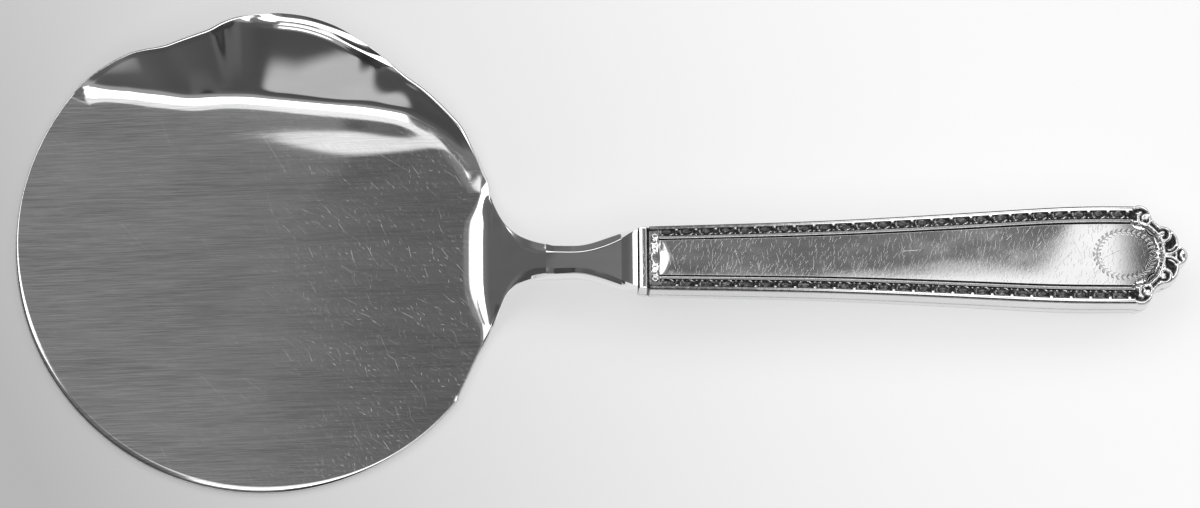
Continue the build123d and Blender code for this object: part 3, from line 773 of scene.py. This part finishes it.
def scratches(tree, spot, kinds):
    """Straight scratches, 1 on a scratch and 0 beside it, at most one in each cell. A kind gives the cell in mm,
    the angle and its spread in degrees, the width and length in mm, and the share of cells that hold one."""
    found = 0.0
    for cell, angle, spread, width, length, share in kinds:
        cells = node(tree, "TexVoronoi", {"voronoi_dimensions": "2D"}, Vector=spot, Scale=1.0 / cell)
        away = node(tree, "VectorMath", "SUBTRACT", spot, cells.outputs["Position"])
        chance = node(tree, "SeparateColor", {}, cells.outputs["Color"]).outputs
        turn = node(tree, "Math", "MULTIPLY_ADD", chance[0], -math.radians(spread), math.radians(spread / 2 - angle))
        turned = node(tree, "VectorRotate", {"rotation_type": "Z_AXIS"}, away, Angle=turn)
        place = node(tree, "SeparateXYZ", {}, turned).outputs
        line = node(tree, "MapRange", smooth, node(tree, "Math", "ABSOLUTE", place[1]), width / 2, width / 6)
        ends = node(tree, "MapRange", smooth, node(tree, "Math", "ABSOLUTE", place[0]), length / 2, length / 4)
        line = node(tree, "Math", "MULTIPLY", line, ends)
        chosen = node(tree, "Math", "LESS_THAN", chance[1], share)
        depth = node(tree, "Math", "MULTIPLY", chosen, node(tree, "Math", "MULTIPLY_ADD", chance[2], 0.7, 0.3))
        found = node(tree, "Math", "ADD", found, node(tree, "Math", "MULTIPLY", line, depth))
    return found


# Worn stainless steel: the flat keeps the fine streaks of its brushing, crossed by scratches from years of
# serving, which catch the light as pale lines. The lip and the neck are polished and dark beside it. Real
# streaks and scratches are finer, and are drawn just wide enough to show.
steel, tree, spot = bare_material("worn_stainless_steel")
polished = node(tree, "Attribute", {"attribute_name": "mark"}).outputs["Fac"]
brushed = node(tree, "Math", "SUBTRACT", 1.0, polished)
streaks = mottling(tree, spot, (6.5, 0.11, 3.0), 4.0, 0.65, 1.5)
broad = mottling(tree, spot, (26.0, 5.0, 9.0), 2.0)
# Use has worn the half towards the neck most
used = node(tree, "MapRange", smooth, node(tree, "SeparateXYZ", {}, spot), -14.0, 16.0, 0.12, 0.75)
used = node(tree, "Math", "ADD", used, node(tree, "MapRange", smooth, broad, 0.35, 0.65, -0.2, 0.25))
small = scratches(tree, spot, [
    (1.0, -48, 90, 0.06, 0.9, 0.55),
    (2.6, -50, 60, 0.06, 3.0, 0.55),
    (1.3, 0, 180, 0.13, 0.16, 0.12),
])
small = node(tree, "Math", "MULTIPLY", small, used)
long = scratches(tree, spot, [(6.5, -52, 70, 0.07, 6.0, 0.18), (14.0, -38, 60, 0.09, 14.0, 0.40)])
lines = node(tree, "Math", "MINIMUM", node(tree, "Math", "MULTIPLY_ADD", long, 0.55, small), 1.0)
shown = node(tree, "Math", "MULTIPLY", lines, node(tree, "Math", "MULTIPLY_ADD", brushed, 0.85, 0.15))
grain = node(tree, "MapRange", smooth, streaks, 0.25, 0.75, -1.0, 1.0)
grain = node(tree, "Math", "MULTIPLY", grain, brushed)
rough = node(tree, "Math", "MULTIPLY_ADD", brushed, 0.028, 0.070)
rough = node(tree, "Math", "MULTIPLY_ADD", grain, 0.010, rough)
scored = node(tree, "Math", "MULTIPLY_ADD", long, 0.75, node(tree, "Math", "MULTIPLY", small, 1.5))
scored = node(tree, "Math", "MULTIPLY", node(tree, "Math", "MINIMUM", scored, 1.5), brushed)
rough = node(tree, "Math", "MULTIPLY_ADD", scored, 0.15, rough)
# Where it is used most, the brushing has gone, and fine slanting rubs take its place
grain = node(tree, "Math", "MULTIPLY", grain, node(tree, "Math", "MULTIPLY_ADD", used, -0.85, 1.0))
rubs = node(tree, "MapRange", smooth, mottling(tree, spot, (1.3, 0.10, 3.0), 3.0, 0.6, -42.0), 0.35, 0.75)
rubs = node(tree, "Math", "MULTIPLY", rubs, node(tree, "Math", "MULTIPLY", used, brushed))
grain = node(tree, "Math", "MULTIPLY_ADD", rubs, 0.55, grain)
shade = node(tree, "Mix", {"data_type": "RGBA"}, node(tree, "MapRange", smooth, broad, 0.25, 0.75),
             i6=linear("#d7d7d7"), i7=linear("#e2e2e2")).outputs[2]
for part, strength in ((grain, 0.22), (shown, 0.24), (polished, 0.20)):
    shade = node(tree, "VectorMath", "MULTIPLY_ADD", part, (strength, strength, strength), shade)
height = node(tree, "Math", "MULTIPLY", streaks, brushed)
bump = node(tree, "Bump", Strength=1.0, Distance=0.0000011, Height=height)
shader = node(tree, "BsdfPrincipled", Metallic=1.0, Base_Color=shade, Roughness=rough, Normal=bump)
node(tree, "OutputMaterial", Surface=shader)
server_blade.data.materials.append(steel)
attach(server_blade, "root")
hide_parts("blade")


# Handle: two half shells of silver, struck in one pair of dies and soldered along their edges. A bead
# and a band of egg-and-dart run down both sides of each face, with C-scrolls and a shell at the butt.
# Everything is laid out flat on the face first, in mm from the mouth's middle, and then set in place.
# Its length, its half width and its rise at mouth, butt and tip, and where the sides end. Then how far the side
# walls bulge, the silver's thickness, and half the film of solder between the shells
handle_length = 97.6
mouth_half, butt_half = 5.6, 8.7
mouth_rise, butt_rise, tip_rise = 4.5, 5.9, 4.7
end_station = 88.2
wall_bulge = 0.35
shell_wall = 0.8
film = 0.06
# How the width and the rise grow from the mouth's to the butt's: share of the length, share of the growth
width_shares = [(0, 0), (0.18, 0.13), (0.36, 0.30), (0.51, 0.52), (0.66, 0.78), (0.80, 0.98), (0.9025, 1.0),
                (1.0, 1.0)]
rise_shares = [(0, 0), (0.25, 0.25), (0.50, 0.60), (0.70, 0.90), (0.84, 1.00)]


def half_width(x):
    """Half the face's width along the sides."""
    places = [share * handle_length for share, _ in width_shares]
    shares = smooth_through(places, [s for _, s in width_shares], np.minimum(x, end_station))
    return mouth_half + (butt_half - mouth_half) * np.minimum(shares, 1.0)


def face_rise(x):
    """The face's height over the handle's middle plane."""
    places = [share * handle_length for share, _ in rise_shares] + [handle_length]
    rises = [mouth_rise + (butt_rise - mouth_rise) * s for _, s in rise_shares] + [tip_rise]
    return smooth_through(places, rises, np.clip(x, 0, handle_length))


def swelling_arc(start, end, swell, count):
    """Points on an arc that swells to the left of its run by a distance."""
    start, end = np.array(start, float), np.array(end, float)
    run = end - start
    length = np.linalg.norm(run)
    left = np.array([-run[1], run[0]]) / length
    radius = (length**2 / 4 + swell**2) / (2 * abs(swell))
    turn = 2 * math.asin(min(1.0, length / 2 / radius))
    angles = np.linspace(-turn / 2, turn / 2, count)
    along_run = radius * np.sin(angles)
    out = radius * np.cos(angles) - radius * math.cos(turn / 2)
    return (start + end) / 2 + along_run[:, None] * run / length + math.copysign(1, swell) * out[:, None] * left


# The outline of one half of the face, from the mouth to the tip, and the heart each point draws in to
end_places = [(end_station, butt_half), (91.1, 7.0), (93.2, 5.10), (96.0, 1.65), (handle_length, 0.0)]
end_swells = [0.9, -0.35, 0.95, 0.42]
end_counts = [26, 24, 36, 22]
side_stations = np.concatenate([np.linspace(0, 5, 46)[:-1], np.linspace(5, end_station, 586)])
side_outline = np.stack([side_stations, half_width(side_stations)], axis=1)
arcs = [swelling_arc(*arc)[1:] for arc in zip(end_places, end_places[1:], end_swells, end_counts)]
outline = np.concatenate([side_outline] + arcs)
outline[-1, 1] = 0.0
hearts = np.stack([np.minimum(outline[:, 0], end_station), np.zeros(len(outline))], axis=1)
# Rows across the face, from the outline in, close together where the border's profile turns
border_rows = np.concatenate([
    [0, 0.05, 0.11, 0.18, 0.27, 0.38, 0.50, 0.62, 0.74, 0.85, 0.94, 1.02, 1.10, 1.18], np.linspace(1.28, 2.18, 10),
    [2.25, 2.31, 2.35, 2.39, 2.44, 2.65, 2.84, 2.88, 2.93, 3.00, 3.08, 3.16, 3.20, 3.24, 3.28, 3.42, 3.65, 3.95, 4.3],
])


def widening(x):
    """How wide the border is along the handle, as a share of its width at the butt."""
    return np.interp(x, [0, 20, 80], [0.80, 0.84, 1.0])


full_reach = np.where(outline[:, 0] < end_station, outline[:, 1], butt_half)
inset = border_rows[None] * widening(outline[:, 0])[:, None]
further = inset[:, -1:] + (full_reach[:, None] - inset[:, -1:]) * np.linspace(0, 1, 8)[None, 1:]
inset = np.concatenate([inset, further], axis=1)
draw = (inset / full_reach[:, None])[..., None]
face_plan = outline[:, None] * (1 - draw) + hearts[:, None] * draw
face_plan[:, -1, 1] = 0.0


def line_distance(points, line):
    """The least distance from each point of a grid to a broken line."""
    flat = points.reshape(-1, 2)
    low, high = line.min(axis=0) - 2.0, line.max(axis=0) + 2.0
    close = ((flat > low) & (flat < high)).all(axis=1)
    found = np.full(len(flat), 9.0)
    if close.any():
        found[close] = plan_distance(flat[close], line)
    return found.reshape(points.shape[:-1])


def scroll(centre, radius, start, turns, shrink, count=60):
    """A spiral that winds in from a radius, from a start angle in degrees."""
    share = np.linspace(0, 1, count)
    angle = math.radians(start) + share * turns * 2 * math.pi
    size = radius * (1 - (1 - shrink) * share)
    return np.array(centre) + np.stack([size * np.cos(angle), size * np.sin(angle)], axis=1)


def raised(points, line, width, height):
    """A rounded cord of relief along a line."""
    share = np.clip(1 - (line_distance(points, line) / width)**2, 0, 1)
    return height * np.sqrt(share)


def bump_at(points, centre, size, height):
    """A rounded boss of relief."""
    gap = np.linalg.norm((points - np.array(centre)) / np.array(size), axis=-1)
    return height * np.sqrt(np.clip(1 - gap**2, 0, 1))


def capped(share):
    """A rounded cap: 1 in the middle, 0 where the share reaches 1."""
    return np.sqrt(np.clip(1 - share, 0, 1))


# Cross profile of the border, from the outline in: distance and height, in mm, at the butt's width. A
# round bead, the sunk band of the egg-and-dart, a narrow level fillet and a groove before the field.
band_floor = -0.44
profile = np.array([
    (0.00, -0.34), (0.05, -0.22), (0.11, -0.13), (0.18, -0.07), (0.27, -0.02), (0.38, 0.0), (0.50, 0.0),
    (0.62, -0.03), (0.74, -0.08), (0.85, -0.15), (0.94, -0.24), (1.02, -0.34), (1.10, band_floor),
    (2.25, band_floor), (2.31, -0.30), (2.35, -0.11), (2.39, -0.09), (2.84, -0.09), (2.88, -0.12), (2.93, -0.25),
    (3.00, -0.36), (3.08, -0.40), (3.16, -0.34), (3.20, -0.06), (3.24, 0.0), (9.0, 0.0),
])
bead_rows = 13
# The band repeats with a pitch, counted from one egg's middle, between the first and last station
pitch = 3.487
egg_station = 50.35
first_station, last_station = 3.4, 87.4
field_crown = 0.15


def relief(points, inset):
    """The struck relief on one half of the face: its height, in mm, never above the plain face, and how dark each
    place is, from 0 to 1: the patina kept in its hollows, with painted shade on the eggs and a painted highlight
    beside them."""
    x, y = points[..., 0], points[..., 1]
    d = inset / widening(x)
    height = np.interp(d, profile[:, 0], profile[:, 1])
    dark = np.interp(d, [0.0, 0.22, 0.30, 0.84, 1.0, 2.33, 2.40, 2.83, 2.90, 3.22, 3.27],
                     [0.90, 0.85, 0.0, 0.0, 1.0, 1.0, 0.50, 0.50, 0.95, 0.95, 0.0])
    # The bead keeps some of it towards the mouth
    dark = np.maximum(dark, 0.78 * (1 - eased((x - 10.0) / 50.0)) * (d > 0.2) * (d < 1.0))
    # Egg-and-dart: an egg in a raised shell whose two ends are rubbed bright, and a dart between. The egg is kept
    # dark, partly patina and partly painted shade, and a crescent on its left is a painted highlight
    t = (x - egg_station + pitch / 2) % pitch - pitch / 2
    in_band = (x > first_station) & (x < last_station) & (d > 0.70) & (d < 2.34)
    between = np.abs(np.abs(t) - pitch / 2)
    egg = capped((t / 0.84)**2 + ((d - 1.42) / 0.58)**2) * 0.34
    ring = np.sqrt((t / 1.16)**2 + ((d - 1.30) / 0.92)**2)
    shell = capped(((ring - 1) / 0.16)**2) * 0.20 * np.clip((d - 0.95) / 0.3, 0, 1)
    right_end = capped(((t - 0.84) / 0.42)**2 + ((d - 2.02 + 0.45 * (t - 0.84)) / 0.21)**2) * 0.43
    left_end = capped(((t + 0.80) / 0.28)**2 + ((d - 2.04) / 0.21)**2) * 0.42
    dart_tip = capped((between / 0.16)**2 + ((d - 2.04) / 0.16)**2) * 0.38
    dart_root = capped((between / 0.30)**2 + ((d - 0.98) / 0.30)**2) * 0.40
    dart = capped((between / 0.13)**2) * 0.16 * (d < 1.9)
    crescent_painted_highlight = capped(((ring - 0.96) / 0.10)**2) * (t < -0.25) * (d < 1.75)
    band = band_floor + np.maximum.reduce([egg, shell, right_end, left_end, dart_tip, dart_root, dart])
    rubbed = np.maximum.reduce([right_end > 0.10, left_end > 0.10, dart_tip > 0.10, dart_root > 0.12]) * 1.0
    # Painted shade on the egg, which keeps most of the dark, and a painted highlight in the lighter crescent on its
    # left
    kept = np.where(egg > 0.05, 0.86, 1.0) - 0.45 * crescent_painted_highlight
    height = np.where(in_band, np.maximum(height, band), height)
    dark = np.where(in_band & (d > 0.9), np.minimum(kept, 1 - rubbed), dark)
    # The field is very slightly crowned, and dished behind the ornament at the mouth
    in_field = eased((d - 2.88) / 0.15)
    dish_half = 3.9
    dish_end = np.clip((x - 3.2) / (1.2 + 1.9 * np.clip(1 - y / dish_half, 0, 1)), 0, 1)
    dish = 0.60 * np.clip(1 - (y / dish_half)**2, 0, 1) * (1 - dish_end)**1.5
    height = height - in_field * (field_crown * (y / 5.2)**2 + dish)
    # Mouth: a rounded collar, a groove, then C-scrolls across the face
    collar_end, groove_end, carving_end = 1.60, 1.95, 3.75
    collar = np.interp(x, [0, 0.10, 0.30, 0.60, 0.95, 1.38, 1.50, 1.60],
                       [-0.34, -0.24, -0.13, -0.04, 0.0, 0.0, -0.10, -0.44])
    edge = np.interp(inset, [0, 0.05, 0.15, 0.35], [-0.34, -0.2, -0.07, 0.0])
    height = np.where(x < collar_end, np.minimum(collar, edge), height)
    dark = np.where(x < collar_end, np.interp(x, [0, 0.12, 0.2, 1.36, 1.5], [0.8, 0.7, 0.0, 0.0, 1.0]), dark)
    groove = (x >= collar_end) & (x < groove_end)
    height = np.where(groove, band_floor, height)
    dark = np.where(groove, 1.0, dark)
    ground = -0.36
    at_mouth = (x >= groove_end) & (x < carving_end) & (inset > 0.85)
    carved, worn = ornament(points, mouth_strokes, [], ground)
    height = np.where(at_mouth, carved, height)
    dark = np.where(at_mouth, 0.72 * worn, dark)
    # Butt: outside the arch, scrolls and a shell on a sunk ground, within the bead that runs on round it
    past_arch = inside_butt(x, y)
    carved, worn = ornament(points, butt_strokes, butt_bosses, ground)
    bead_share = 0.62
    bead = np.interp(inset, profile[:bead_rows, 0] * bead_share, profile[:bead_rows, 1])
    carved = np.maximum(carved, np.where(inset < bead_share, bead, ground))
    worn = np.where((inset > 0.16) & (inset < 0.52), 0.0, np.where(inset <= 0.16, 0.6, worn))
    height = np.where(past_arch, carved, height)
    dark = np.where(past_arch, worn, dark)
    arch_gap, arch_width = line_distance(points, arch), 0.24
    line_of_arch = (x > 87.3) & (arch_gap < arch_width)
    height = np.where(line_of_arch, ground * capped((arch_gap / arch_width)**2), height)
    dark = np.where(line_of_arch, 0.9 * eased((arch_width - arch_gap) / 0.12), dark)
    return np.minimum(height, 0.0), np.clip(dark, 0, 1)


def ornament(points, strokes, bosses, ground):
    """Carved cords and bosses on a sunk ground: their height, and the patina between them."""
    height = np.full(points.shape[:-1], ground)
    for line, width, tall in strokes:
        height = np.maximum(height, ground + raised(points, line, width, tall))
    for centre, size, tall in bosses:
        height = np.maximum(height, ground + bump_at(points, centre, size, tall))
    return height, 1 - eased((height - ground - 0.06) / 0.16)


# The arch that closes the plain field, and the ornament round it, on one half of the face
arch_turns = np.linspace(math.pi / 2, 0, 40)
arch_x = 88.3
arch = np.stack([arch_x + 4.55 * np.cos(arch_turns), 5.35 * np.sin(arch_turns)], axis=1)
arch = np.concatenate([[(87.6, 5.9)], arch])
outer_arch = np.stack([arch_x + 5.15 * np.cos(arch_turns), 5.95 * np.sin(arch_turns)], axis=1)


def inside_butt(x, y):
    """Whether a place is past the arch, in the carved end."""
    return (x > 88.0) & (((x - arch_x) / 4.75)**2 + (y / 5.55)**2 > 1)


butt_strokes = [
    (outer_arch, 0.26, 0.33),
    (scroll((90.15, 6.45), 1.45, 128, 1.15, 0.30), 0.30, 0.36),
    (scroll((93.35, 3.55), 1.50, 118, -1.05, 0.32), 0.33, 0.36),
    (swelling_arc((91.7, 6.3), (92.2, 5.1), 0.25, 16), 0.24, 0.30),
    (swelling_arc((91.4, 4.6), (93.4, 2.0), 0.30, 24), 0.24, 0.32),
    (swelling_arc((93.9, 0.25), (96.0, 1.35), -0.35, 24), 0.28, 0.34),
    (swelling_arc((94.2, 0.9), (95.4, 1.75), -0.2, 20), 0.20, 0.30),
    (swelling_arc((95.6, 0.0), (96.2, 1.2), 0.3, 20), 0.18, 0.30),
]
butt_bosses = [
    ((90.30, 6.55), (0.36, 0.36), 0.30),
    ((93.15, 3.60), (0.40, 0.40), 0.28),
    ((96.75, 0.0), (0.62, 0.98), 0.36),
    ((88.75, 7.35), (0.34, 0.30), 0.34),
]
mouth_strokes = [
    (scroll((2.85, 1.75), 0.78, 120, -1.2, 0.35), 0.22, 0.36),
    (scroll((2.85, 3.75), 0.66, 240, 1.2, 0.35), 0.20, 0.36),
    (swelling_arc((2.3, 0.1), (2.9, 1.0), 0.15, 16), 0.22, 0.34),
    (swelling_arc((3.45, 2.3), (3.45, 3.3), 0.25, 16), 0.17, 0.30),
]


def handle_shell(name, face):
    """One half shell: face +1 is the front, -1 the back. Gives its rim too, outer and inner line, laid out flat."""
    top = face_rise(face_plan[..., 0])
    struck, dark = relief(face_plan, inset)
    plan = face_plan.copy()
    # The collar and its groove run on round the side walls
    x = outline[:, 0]
    ring = np.interp(x, [0, 0.10, 0.30, 0.60, 0.95, 1.38, 1.50, 1.60, 1.90, 2.0],
                     [-0.25, -0.18, -0.10, -0.03, 0.0, 0.0, -0.07, -0.25, -0.25, 0.0])
    plan[..., 1] += ring[:, None] * (1 - draw[..., 0])
    upper = np.concatenate([plan, (top + struck)[..., None]], axis=2)
    wall_heights = np.linspace(0, 1, 7)[:-1]
    edge_top = upper[:, 0, 2]
    outwards = outline - hearts
    outwards /= np.maximum(np.linalg.norm(outwards, axis=1, keepdims=True), 1e-9)
    outwards[outline[:, 0] < end_station] = (0, 1)
    wall = []
    for share in wall_heights:
        swell = wall_bulge * (1 - share**1.6)
        place = plan[:, 0] + outwards * swell
        place[-1, 1] = 0.0
        wall.append(np.concatenate([place, (film + (edge_top - film) * share)[:, None]], axis=1))
    wall = np.stack(wall, axis=1)
    outer_skin = np.concatenate([wall, upper], axis=1)
    groove = np.interp(x, [1.45, 1.55, 1.95, 2.05], [0, 1, 1, 0])[:, None]
    # The side walls are darkened a quarter all along, and fully in the collar's groove
    dark = np.concatenate([np.maximum(groove, np.full((1, wall.shape[1]), 0.24)), dark], axis=1)
    # Inside: a plain hollow a wall's thickness smaller
    end_turns = np.linspace(math.pi / 2, 0, len(outline) - len(side_outline) + 1)
    hollow = outline.copy()
    hollow[:len(side_outline), 1] -= shell_wall
    hollow[len(side_outline) - 1:, 0] = end_station + 4.9 * np.cos(end_turns)
    hollow[len(side_outline) - 1:, 1] = (butt_half - shell_wall) * np.sin(end_turns)
    hollow[-1, 1] = 0.0
    ceiling = face_rise(hollow[:, 0]) - shell_wall
    rows_inside = [np.concatenate([hollow, np.full((len(hollow), 1), film)], axis=1),
                   np.concatenate([hollow, ceiling[:, None]], axis=1)]
    for share in (0.5, 1.0):
        drawn = hollow * (1 - share) + hearts * share
        drawn[-1, 1] = 0.0
        if share == 1.0:
            drawn[:, 1] = 0.0
        rows_inside.append(np.concatenate([drawn, (face_rise(drawn[:, 0]) - shell_wall)[:, None]], axis=1))
    inner_skin = np.stack(rows_inside, axis=1)
    work = Builder()
    ends = []
    for side in (1, -1):
        turned = np.array([1, side, 1])
        outer_numbers = work.add(set_in_place(outer_skin * turned, face), dark)
        inner_numbers = work.add(set_in_place(inner_skin * turned, face), 1.0)
        flip = side * face < 0
        work.grid(outer_numbers, flip=flip)
        work.grid(inner_numbers, flip=not flip)
        work.grid(np.stack([outer_numbers[:, 0], inner_numbers[:, 0]], axis=1), flip=not flip)
        ends.append((outer_numbers[0], inner_numbers[0]))
    (outer_one, inner_one), (outer_two, inner_two) = ends
    loop = list(outer_one) + list(outer_two[:-1][::-1]) + list(inner_two) + list(inner_one[:-1][::-1])
    work.faces.append(tuple(int(n) for n in loop))
    return work.build(name), np.stack([outer_skin[:, 0], inner_skin[:, 0]], axis=1)


def set_in_place(points, face):
    """Points laid out on the handle, moved to where the handle lies. Face -1 turns them under."""
    x, y, z = points[..., 0], points[..., 1], points[..., 2] * face
    turned_x = x * math.cos(droop) + z * math.sin(droop)
    turned_z = z * math.cos(droop) - x * math.sin(droop)
    return np.stack([turned_x + mouth_x, y + handle_offset, turned_z + mouth_height], axis=-1)


front_shell, rim = handle_shell("front_shell", 1)
back_shell, rim = handle_shell("back_shell", -1)

# Worn silver: a soft shine under countless fine scratches, mostly across the field, and a black patina
# left in the sunk parts of the ornament, which makes its rubbed high points stand out. The eggs also carry
# painted shade, with a painted highlight beside each. The scratches are drawn wider than real ones,
# so that they show.
silver, tree, spot = bare_material("worn_silver")
sunk = node(tree, "Attribute", {"attribute_name": "mark"}).outputs["Fac"]
speckle = mottling(tree, spot, (0.5, 0.5, 0.5), 3.0)
# The mark is mostly patina in the hollows, partly painted shade on the eggs, and lighter in a painted highlight
# beside each
patina = node(tree, "Math", "MULTIPLY", sunk, node(tree, "MapRange", smooth, speckle, 0.25, 0.6, 0.78, 1.0))
haze = mottling(tree, spot, (9.0, 4.0, 5.0), 3.0)
lines = scratches(tree, spot, [
    (0.75, 78, 50, 0.07, 1.0, 0.62),
    (1.7, 74, 70, 0.09, 2.2, 0.30),
    (5.0, 60, 120, 0.10, 4.0, 0.30),
])
lines = node(tree, "Math", "MULTIPLY", lines, node(tree, "Math", "SUBTRACT", 1.0, sunk))
lines = node(tree, "Math", "MINIMUM", lines, 1.0)
# A laurel oval lightly engraved before the arch, of slanting leaves on both sides of a thin stem
oval_station, oval_half_length, oval_half_width = 86.4, 5.0, 4.1
place = node(tree, "SeparateXYZ", {}, spot).outputs
oval_middle = mouth_x + oval_station
oval_x = node(tree, "Math", "MULTIPLY_ADD", place[0], 1 / oval_half_length, -oval_middle / oval_half_length)
oval_y = node(tree, "Math", "MULTIPLY_ADD", place[1], 1 / oval_half_width, -handle_offset / oval_half_width)
out = node(tree, "Math", "MULTIPLY_ADD", oval_x, oval_x, node(tree, "Math", "MULTIPLY", oval_y, oval_y))
out = node(tree, "Math", "POWER", out, 0.5)
beside = node(tree, "Math", "ABSOLUTE", node(tree, "Math", "SUBTRACT", out, 1.0))
bend = node(tree, "Math", "ARCTAN2", node(tree, "Math", "ABSOLUTE", oval_y), oval_x)
leaf = node(tree, "Math", "MULTIPLY_ADD", bend, 34.0, node(tree, "Math", "MULTIPLY", beside, 26.0))
leaf = node(tree, "MapRange", smooth, node(tree, "Math", "SINE", leaf), -0.1, 0.6)
leaf = node(tree, "Math", "MULTIPLY", leaf, node(tree, "MapRange", smooth, beside, 0.10, 0.15, 1.0, 0.0))
stem = node(tree, "MapRange", smooth, beside, 0.010, 0.025, 1.0, 0.0)
engraved = node(tree, "Math", "MAXIMUM", leaf, stem)
rough = node(tree, "MapRange", smooth, haze, 0.3, 0.7, 0.065, 0.11)
for part, strength in ((patina, 0.32), (lines, 0.15)):
    rough = node(tree, "Math", "MULTIPLY_ADD", part, strength, rough)
shade = node(tree, "Mix", {"data_type": "RGBA"}, node(tree, "MapRange", smooth, patina, 0.0, 1.0),
             i6=linear("#f7f7f7"), i7=linear("#2b2b2b")).outputs[2]
for dimmed in (node(tree, "MapRange", smooth, haze, 0.3, 0.7, 0.92, 1.0),
               node(tree, "Math", "MULTIPLY_ADD", engraved, -0.42, 1.0)):
    shade = node(tree, "VectorMath", "MULTIPLY", shade, dimmed)
height = node(tree, "Math", "MULTIPLY_ADD", speckle, 0.6, node(tree, "Math", "MULTIPLY", lines, -1.0))
height = node(tree, "Math", "MULTIPLY_ADD", engraved, -3.0, height)
bump = node(tree, "Bump", Strength=1.0, Distance=0.000004, Height=height)
shader = node(tree, "BsdfPrincipled", Metallic=1.0, Base_Color=shade, Roughness=rough, Normal=bump)
node(tree, "OutputMaterial", Surface=shader)
for piece, cad_node in ((front_shell, "handle_front_shell"), (back_shell, "handle_back_shell")):
    piece.data.materials.append(silver)
    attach(piece, "root")
    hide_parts(cad_node)


# Solder: a hair-thin line of silver solder between the two shells. It fills the gap between their rims, from
# the mouth along both sides and round the butt, and was run in when the halves were joined.
work = Builder()
section = np.concatenate([rim, rim[:, ::-1] * (1, 1, -1)], axis=1)
for side in (1, -1):
    numbers = work.add(set_in_place(section * (1, side, 1), 1))
    work.grid(numbers.T, flip=side > 0, closed=True)
    work.faces.append(tuple(int(n) for n in numbers[0]))
seam = work.build("solder_line", crease_from=0.0)

# Filed silver solder: a little greyer than the silver, with fine pits that dull its shine
solder, tree, spot = bare_material("filed_silver_solder")
pits = mottling(tree, spot, (0.4, 0.4, 0.4), 3.0)
rough = node(tree, "MapRange", smooth, pits, 0.3, 0.7, 0.22, 0.38)
bump = node(tree, "Bump", Strength=1.0, Distance=0.000006, Height=pits)
shader = node(tree, "BsdfPrincipled", Metallic=1.0, Base_Color=linear("#c9c9c9"), Roughness=rough, Normal=bump)
node(tree, "OutputMaterial", Surface=shader)
seam.data.materials.append(solder)
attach(seam, "root")
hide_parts("solder_seam")


# Filling: the cement that holds the tang in the hollow handle, poured in as warm resin with plaster and
# left to set. It is hidden once the handle is closed, so the solid's own mesh is kept.
filling = next(o for o in bpy.data.objects if o.get("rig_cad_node") == "handle_cement")

# Grey resin cement: dull, and mottled by its plaster's grains, which are drawn coarse enough to show
cement, tree, spot = bare_material("grey_resin_cement")
grains = mottling(tree, spot, (0.8, 0.8, 0.8), 4.0)
rough = node(tree, "MapRange", smooth, grains, 0.3, 0.7, 0.75, 0.92)
shade = node(tree, "Mix", {"data_type": "RGBA"}, node(tree, "MapRange", smooth, grains, 0.3, 0.7),
             i6=linear("#7d7a74"), i7=linear("#9a968f")).outputs[2]
bump = node(tree, "Bump", Strength=1.0, Distance=0.00003, Height=grains)
shader = node(tree, "BsdfPrincipled", Base_Color=shade, Roughness=rough, Normal=bump)
node(tree, "OutputMaterial", Surface=shader)
filling.data.materials.clear()
filling.data.materials.append(cement)
